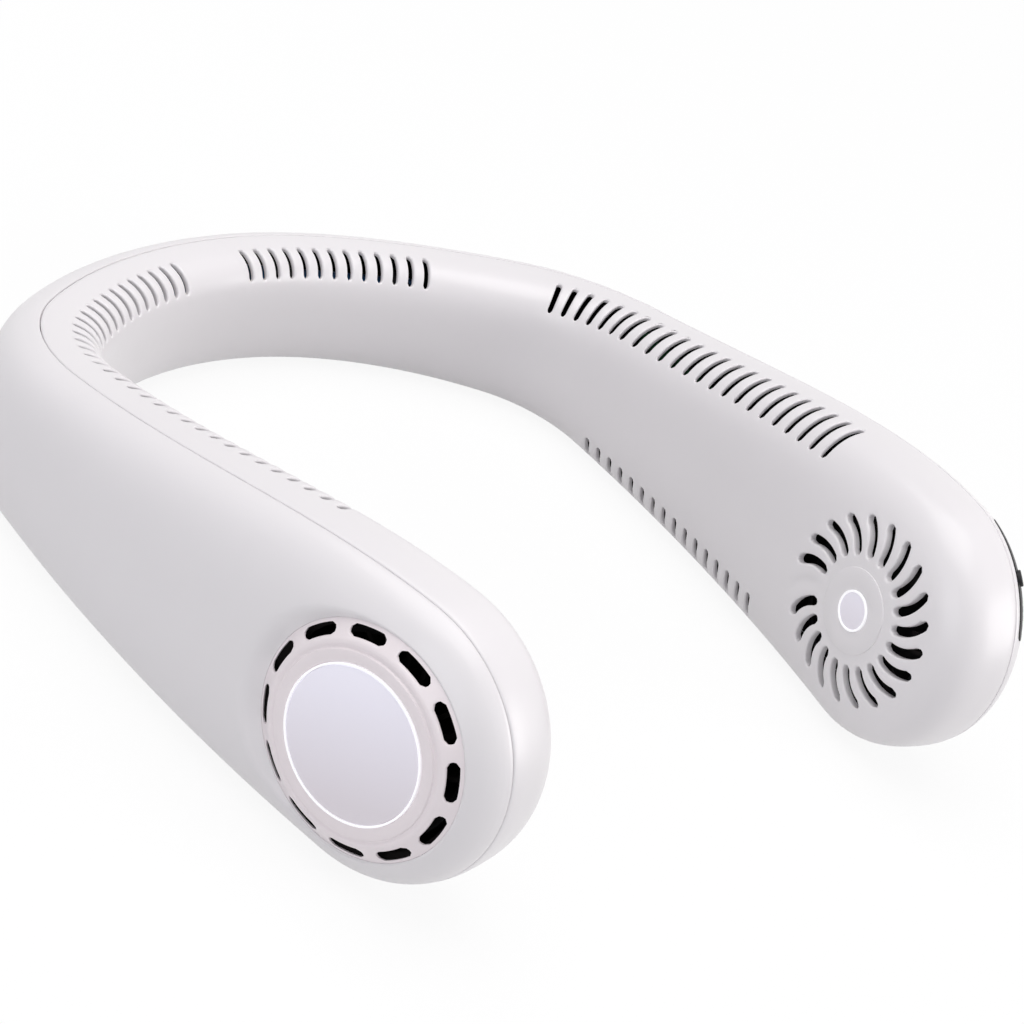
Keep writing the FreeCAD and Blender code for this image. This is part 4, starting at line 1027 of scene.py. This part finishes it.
low_turn, high_turn = (share_turn(share) for share in STRIP_SHARES)
fine_turns = np.linspace(low_turn, high_turn, MEASURE_STEPS)
fine_line = cap(np.zeros_like(fine_turns), fine_turns, 0)
run = np.concatenate([[0], np.cumsum(np.linalg.norm(np.diff(fine_line, axis=0), axis=-1))])
hole_run = np.interp(share_turn(HOLE_SHARE), fine_turns, run)
hole_circle = END_RADIUS * rounded(share_turn(HOLE_SHARE))[1]
strip_angles, hole_starts, hole_heights = [], [], {}
here = STRIP_ENDS[0]
for middle, radius, count in [BUTTON_HOLE] + LIGHT_HOLES:
    around = math.pi * (np.arange(count) + 0.5) / count
    hole_lines = middle - radius / hole_circle * np.cos(around)
    strip_angles += stations_between(here, hole_lines[0], STRIP_GAP)
    hole_starts.append((len(strip_angles), count - 1))
    strip_angles += list(hole_lines[:-1])
    hole_heights.update(zip(hole_lines, radius * np.sin(around)))
    here = hole_lines[-1]
strip_angles += stations_between(here, STRIP_ENDS[1], STRIP_GAP) + [STRIP_ENDS[1]]
print("strip lines", len(strip_angles), "width", round(run[-1], 2))

# %% Control strip
STRIP_PROUD, STRIP_DEPTH, STRIP_RIM = 0.1, 0.9, 0.08
HOLE_BAND, LOWER_CELLS, UPPER_CELLS = 0.3, 4, 6
strip_turns = []
for angle in strip_angles:
    height = hole_heights.get(angle, HOLE_BAND)
    low, high = np.interp([hole_run - height, hole_run + height], run, fine_turns)
    upper = high + (high_turn - high) * np.sin(np.linspace(0, math.pi / 2, UPPER_CELLS + 1))
    strip_turns.append(np.concatenate([np.linspace(low_turn, low, LOWER_CELLS + 1), upper]))
strip_turns = np.array(strip_turns)
keep = np.ones((len(strip_angles) - 1, strip_turns.shape[1] - 1), bool)
for start, cells in hole_starts:
    keep[start:start + cells, LOWER_CELLS] = False
strip_shifts = corner_shift((strip_turns - low_turn) / (high_turn - low_turn))
strip_angles = drawn_in(np.array(strip_angles)[:, None], strip_shifts, STRIP_ENDS)
strip_sheet = Sheet()
strip_sheet.patch(*(cap(strip_angles, strip_turns, inset) for inset in (-STRIP_PROUD, STRIP_DEPTH)), keep)
strip_mesh = to_mesh("control_strip", strip_sheet.close(STRIP_RIM), "strip_dark", "inside_painted_shade")
show("strip_cover", strip_mesh, "casing", "control_strip")

# %% [markdown]
# ## Copies round an axis
# The slots of an intake cover and the blades of a blower repeat evenly round the fan axis.
# They could be copied in a loop, but a Geometry Nodes tree holds the rule once and shows its few numbers.
# The tree sets one instance on each of a number of points, turns it by its index, and makes one real mesh.

# %% Geometry Nodes tree for copies round an axis
ring_tree, given, made = node_group(
    "copies_round_axis", "GeometryNodeTree",
    {
        "Geometry": "Geometry", "Count": "Int", "First Angle": "Float", "Join": "Float",
        "Material": "Material",
    },
    {"Geometry": "Geometry"},
)
ring_tree.is_modifier = True
step = operation(ring_tree, "DIVIDE", 2 * math.pi, given["Count"])
turn = operation(ring_tree, "MULTIPLY", add(ring_tree, "GeometryNodeInputIndex").outputs[0], step)
turn = operation(ring_tree, "ADD", turn, given["First Angle"])
spin = add(ring_tree, "ShaderNodeCombineXYZ", {"Z": turn})
rotation = add(ring_tree, "FunctionNodeEulerToRotation", {0: spin.outputs[0]})
points = add(ring_tree, "GeometryNodePoints", {"Count": given["Count"]})
instances = add(ring_tree, "GeometryNodeInstanceOnPoints", {
    "Points": points.outputs[0], "Instance": given["Geometry"], "Rotation": rotation.outputs[0],
})
real = add(ring_tree, "GeometryNodeRealizeInstances", {0: instances.outputs[0]})
joined = add(ring_tree, "GeometryNodeMergeByDistance", {
    "Geometry": real.outputs[0], "Distance": given["Join"],
})
painted = add(ring_tree, "GeometryNodeSetMaterial", {
    "Geometry": joined.outputs[0], "Material": given["Material"],
})
ring_tree.links.new(painted.outputs[0], made[0])
sockets = [item for item in ring_tree.interface.items_tree if item.in_out == "INPUT"]
ring_inputs = {item.name: item.identifier for item in sockets}
print("tree", ring_tree.name, sorted(ring_inputs))


# %% Copies as one mesh, and pieces on both ends
def copies(work, count, first_angle, slot, join):
    """Work mesh with copies of a bmesh round the fan axis, in millimetres."""
    seed = bpy.data.meshes.new("seed")
    work.to_mesh(seed)
    work.free()
    carrier = bpy.data.objects.new("carrier", seed)
    scene.collection.objects.link(carrier)
    modifier = carrier.modifiers.new("ring", "NODES")
    modifier.node_group = ring_tree
    values = {"Count": count, "First Angle": first_angle, "Join": join, "Material": materials[slot]}
    for label, value in values.items():
        modifier[ring_inputs[label]] = value
    graph = bpy.context.evaluated_depsgraph_get()
    baked = bpy.data.meshes.new_from_object(carrier.evaluated_get(graph))
    bpy.data.objects.remove(carrier)
    ring_work = bmesh.new()
    ring_work.from_mesh(baked)
    bpy.data.meshes.remove(baked)
    bpy.data.meshes.remove(seed)
    return ring_work


FAN_MATRIX = Matrix([*np.column_stack([UP, TIP, AXIS, FAN_CENTRE * MM]).tolist(), [0, 0, 0, 1]])
MIRROR = Matrix.Diagonal((-1, 1, 1, 1))


def on_ends(name, work, node, slot, body=None):
    """Right and left piece from one bmesh in the fan's own frame; a blower piece names no body."""
    mesh = to_mesh(name, work, slot, "inside_painted_shade")
    for side in ("right", "left"):
        copy = mesh.copy()
        copy.transform(FAN_MATRIX if side == "right" else MIRROR @ FAN_MATRIX)
        if side == "left":
            copy.flip_normals()
        copy.name = f"{side}_{name}"
        show(f"{side}_{name}", copy, body or f"{side}_blower", f"{side}_{node}")
    bpy.data.meshes.remove(mesh)


print("right fan at", [round(value, 4) for value in FAN_MATRIX.translation])

# %% [markdown]
# ## The intake cover
# The cover is a shallow round cap whose sloping edge carries twelve slots in the valley against the shell.
# One twelfth of it is drawn as a sheet with its slot, and the tree above repeats it and joins the seams.
# That keeps every slot alike, and the rim of only one slot has to be rounded.

# %% Grid of one twelfth of the cover
INTAKE_COUNT = 12
INTAKE_RADIUS, INTAKE_HALF, INTAKE_LENGTH = 22.25, 1.1, 8.3
# Radius and height of the skin, then of the inside, from the middle to the edge.
COVER_ROWS = np.array([
    (0.5, 14.2, 0.5, 13.2), (8.0, 14.2, 8.0, 13.2), (16.15, 14.2, 16.15, 13.2), (16.3, 14.3, 16.3, 13.2),
    (16.3, 14.66, 16.4, 13.2), (16.36, 14.76, 16.5, 13.2), (16.5, 14.8, 16.6, 13.2),
    (17.6, 14.8, 17.6, 13.2), (18.5, 14.8, 18.5, 13.2), (18.72, 14.74, 18.7, 13.2),
    (18.86, 14.55, 18.85, 13.2), (18.95, 14.36, 19.0, 13.2), (19.2, 14.3, 19.2, 13.2),
    (19.45, 14.36, 19.4, 13.2), (19.6, 14.46, 19.6, 13.2), (19.85, 14.5, 19.8, 13.2),
    (20.3, 14.46, 20.3, 13.5), (20.7, 14.28, 20.7, 13.7), (21.15, 13.98, 21.15, 13.48),
    (21.7, 13.6, 21.7, 13.1), (22.25, 13.23, 22.25, 12.73), (22.8, 12.86, 22.8, 12.36),
    (23.35, 12.49, 23.35, 11.99), (23.75, 12.22, 23.6, 11.4), (24.06, 12.02, 22.8, 10.4),
    (24.06, 11.7, 22.4, 10.0), (24.06, 7.8, 22.4, 7.8),
])
SLOT_ROWS, SLOT_COLUMNS = (18, 22), (2, 8)
SECTOR_HALF, SECTOR_SIDE, SLOT_STATIONS = 180 / INTAKE_COUNT, 12.8, 7
straight_turn = math.degrees((INTAKE_LENGTH / 2 - INTAKE_HALF) / INTAKE_RADIUS)
slot_turns = np.linspace(-straight_turn, straight_turn, SLOT_STATIONS)
column_angles = [-SECTOR_HALF, -SECTOR_SIDE, *slot_turns, SECTOR_SIDE, SECTOR_HALF]
angles = np.radians(np.tile(column_angles, (len(COVER_ROWS), 1)))
for row in range(SLOT_ROWS[0], SLOT_ROWS[1] + 1):
    radius = COVER_ROWS[row, 0]
    bulge = INTAKE_HALF * math.sqrt(max(0.0, 1 - ((radius - INTAKE_RADIUS) / INTAKE_HALF) ** 2)) / radius
    angles[row, SLOT_COLUMNS] += np.array([-bulge, bulge])
print("cover grid", angles.shape)

# %% Intake covers
INTAKE_FIRST, INTAKE_RIM = math.radians(11.8), 0.2
OPEN_SIDE, SLOT_RIM = 1, 2
marks = np.zeros(angles.shape, int)
marks[:, [0, -1]] = OPEN_SIDE
marks[SLOT_ROWS[0]:SLOT_ROWS[1] + 1, SLOT_COLUMNS[0]:SLOT_COLUMNS[1] + 1] = SLOT_RIM
keep = np.ones((len(COVER_ROWS) - 1, len(column_angles) - 1), bool)
keep[SLOT_ROWS[0]:SLOT_ROWS[1], SLOT_COLUMNS[0]:SLOT_COLUMNS[1]] = False


def turned_points(radii, heights):
    flat = circle(radii[:, None], angles)
    return np.concatenate([flat, np.broadcast_to(heights[:, None, None], (*angles.shape, 1))], -1)


sector = Sheet()
sector.patch(turned_points(*COVER_ROWS[:, :2].T), turned_points(*COVER_ROWS[:, 2:].T), keep, marks)
twelfth = sector.close(INTAKE_RIM, open_mark=OPEN_SIDE, rim_mark=SLOT_RIM)
cover = copies(twelfth, INTAKE_COUNT, INTAKE_FIRST, "cover_white", MERGE_DISTANCE)
bmesh.ops.recalc_face_normals(cover, faces=cover.faces)
part = cover.faces.layers.int["part"]
# Faces of the inside layer take the painted shade, the rest the cover's white.
for face in cover.faces:
    face.material_index = int(face[part] == ON_INSIDE)
on_ends("air_cover", cover, "intake_cover", "cover_white", "casing")

# %% [markdown]
# ## Turned pieces
# The plain disc with its thin ring, and the small one on the grille, are turned shapes with broken edges.
# A cylinder with a bevel would do, but a profile spun round the axis states each edge by its own radius.
# Corners of the profile are rounded before it is spun, so the light runs round the edges as on the real one.

# %% Lathe
CORNER_STEPS, CUT_SHARE = 3, 0.45


def softened(profile, radius):
    """Closed profile with its corners rounded, except on the axis."""
    points = [np.array(point, float) for point in profile]
    soft = []
    for index, corner in enumerate(points):
        if corner[0] == 0:
            soft.append(corner)
            continue
        sides = [points[other % len(points)] - corner for other in (index - 1, index + 1)]
        lengths = [np.hypot(*side) for side in sides]
        cut = min(radius, CUT_SHARE * min(lengths))
        first, last = (corner + side / length * cut for side, length in zip(sides, lengths))
        for share in np.arange(CORNER_STEPS + 1) / CORNER_STEPS:
            soft.append((1 - share) ** 2 * first + 2 * share * (1 - share) * corner + share ** 2 * last)
    return soft


def lathe(profile, columns, work=None):
    """Closed solid of revolution about the fan axis from a closed profile of radius and height."""
    work = work or bmesh.new()
    spokes = circle(1, 2 * math.pi * np.arange(columns) / columns)
    rings = []
    for radius, height in profile:
        if radius == 0:
            rings.append([work.verts.new((0, 0, height))] * columns)
        else:
            rings.append([work.verts.new((radius * x, radius * y, height)) for x, y in spokes])
    faces = []
    for first, second in zip(rings, rings[1:] + rings[:1]):
        for index in range(columns):
            after = (index + 1) % columns
            corners = list(dict.fromkeys((first[index], first[after], second[after], second[index])))
            if len(corners) > 2:
                faces.append(work.faces.new(corners))
    bmesh.ops.recalc_face_normals(work, faces=faces)
    return work


def block(inner, outer, low, high):
    """Rectangular profile between two radii and two heights."""
    return [(inner, low), (outer, low), (outer, high), (inner, high)]


print("corners of a profile get", CORNER_STEPS, "steps")

# %% Discs and their rings
for name, profile, edge_radius, columns, node, slot in (
    ("disc", block(0, 15.6, 14.2, 14.9), 0.12, 144, "cover_plate", "plate_lavender"),
    ("disc_rim", block(15.7, 16.18, 14.2, 15.05), 0.16, 144, "cover_plate_ring", "ring_white"),
    ("grille_disc", block(0, 4.2, -15.05, -15.65), 0.1, 72, "grille_plate", "plate_lavender"),
    ("grille_disc_rim", block(4.25, 4.8, -15.05, -15.8), 0.16, 72, "grille_plate_ring", "ring_white"),
):
    on_ends(name, lathe(softened(profile, edge_radius), columns), node, slot, "casing")

# %% [markdown]
# ## The blower wheels
# Behind the grilles turns a dark wheel: a hub over the motor, a plate, two rings and twenty-six bent blades.
# The turned parts come from the lathe, and the copies tree sets the blades round them.
# One blade is an outline along two arcs, raised to the wheel's height.

# %% Blower wheels
BLADE_COUNT, BLADE_INNER, BLADE_OUTER, BLADE_BEND, BLADE_HALF = 26, 15.0, 20.1, 9.0, 0.45
BLADE_LOW, BLADE_HIGH, BLADE_STEPS, BLADE_JOIN = -10.65, 6.8, 9, 0.0001
RING_INNER, WHEEL_RADIUS, RING_HEIGHT, WHEEL_COLUMNS = 19.6, 21, 0.9, 104
WHEEL_PROFILE = [
    (0, -1.3), (WHEEL_RADIUS, -1.3), (WHEEL_RADIUS, -0.3), (12.3, -0.3), (12.3, 7.1), (11.1, 7.1),
    (11.1, -0.1), (0, -0.1),
]
WHEEL_EDGE, RING_EDGE = 0.3, 0.25
blade_turns = np.linspace(0, bend_sweep(BLADE_INNER, BLADE_OUTER, BLADE_BEND), BLADE_STEPS)


def blade_line(radius):
    """Arc of one side of a blade."""
    return [
        (BLADE_INNER + radius * math.sin(turn), radius * math.cos(turn) - BLADE_BEND) for turn in blade_turns
    ]


outline = blade_line(BLADE_BEND + BLADE_HALF) + blade_line(BLADE_BEND - BLADE_HALF)[::-1]
blade = bmesh.new()
low, high = ([blade.verts.new((x, y, height)) for x, y in outline] for height in (BLADE_LOW, BLADE_HIGH))
blade.faces.new(low[::-1])
blade.faces.new(high)
for index in range(len(outline)):
    after = (index + 1) % len(outline)
    blade.faces.new((low[index], low[after], high[after], high[index]))
bmesh.ops.recalc_face_normals(blade, faces=blade.faces)
blower = copies(blade, BLADE_COUNT, 0.0, "impeller_dark", BLADE_JOIN)
lathe(softened(WHEEL_PROFILE, WHEEL_EDGE), WHEEL_COLUMNS, blower)
for bottom in (BLADE_LOW, BLADE_HIGH - RING_HEIGHT):
    ring_profile = block(RING_INNER, WHEEL_RADIUS, bottom, bottom + RING_HEIGHT)
    lathe(softened(ring_profile, RING_EDGE), WHEEL_COLUMNS, blower)
on_ends("blower_wheel", blower, "impeller", "impeller_dark")

# %% [markdown]
# ## The power button
# A small dark button stands just proud of the strip on the right tip, kept in by a flange under the wall.
# A capped cylinder would do for so small a thing, but a real button is hollow on top and broken at the edge.
# Its axis comes from the record's joint and its middle from the construction mesh, so it can't sit askew.

# %% Power button
BUTTON_RADIUS, FLANGE_RADIUS, BUTTON_DEPTH, BUTTON_EDGE = 1.9, 2.6, 4.0, 0.25
FLANGE_TOP, FLANGE_BOTTOM, DISH_RADIUS, DISH_DEPTH = 3.0, 3.6, 1.35, 0.2
BUTTON_COLUMNS = 64
press = next(joint for joint in frame["record"]["behaviour"]["joints"] if joint["name"] == "power_press")
button_way = -Vector(press["axis"]).normalized()
button_points = [vert.co for vert in frame["nodes"]["power_button"].data.vertices]
sideways = Vector((0, 0, 1)).cross(button_way).normalized()
button_axes = (sideways, button_way.cross(sideways), button_way)
spans = [[point.dot(axis) for point in button_points] for axis in button_axes]
middle = [(min(span) + max(span)) / 2 for span in spans[:2]] + [max(spans[2])]
button_place = sum((axis * value for axis, value in zip(button_axes, middle)), Vector())
button_profile = [
    (0, -DISH_DEPTH), (DISH_RADIUS, 0), (BUTTON_RADIUS, 0), (BUTTON_RADIUS, -FLANGE_TOP),
    (FLANGE_RADIUS, -FLANGE_TOP), (FLANGE_RADIUS, -FLANGE_BOTTOM), (BUTTON_RADIUS, -FLANGE_BOTTOM),
    (BUTTON_RADIUS, -BUTTON_DEPTH), (0, -BUTTON_DEPTH),
]
button_work = lathe(softened(button_profile, BUTTON_EDGE), BUTTON_COLUMNS)
button_mesh = to_mesh("button_cap", button_work, "button_dark")
button_mesh.transform(Matrix.Translation(button_place) @ Matrix(button_axes).transposed().to_4x4())
show("button_cap", button_mesh, "button", "power_button")
print("button at", [round(value, 5) for value in button_place])

# %% [markdown]
# ## Sizes
# The frame's box was kept at the start, and the floor is set just under it.
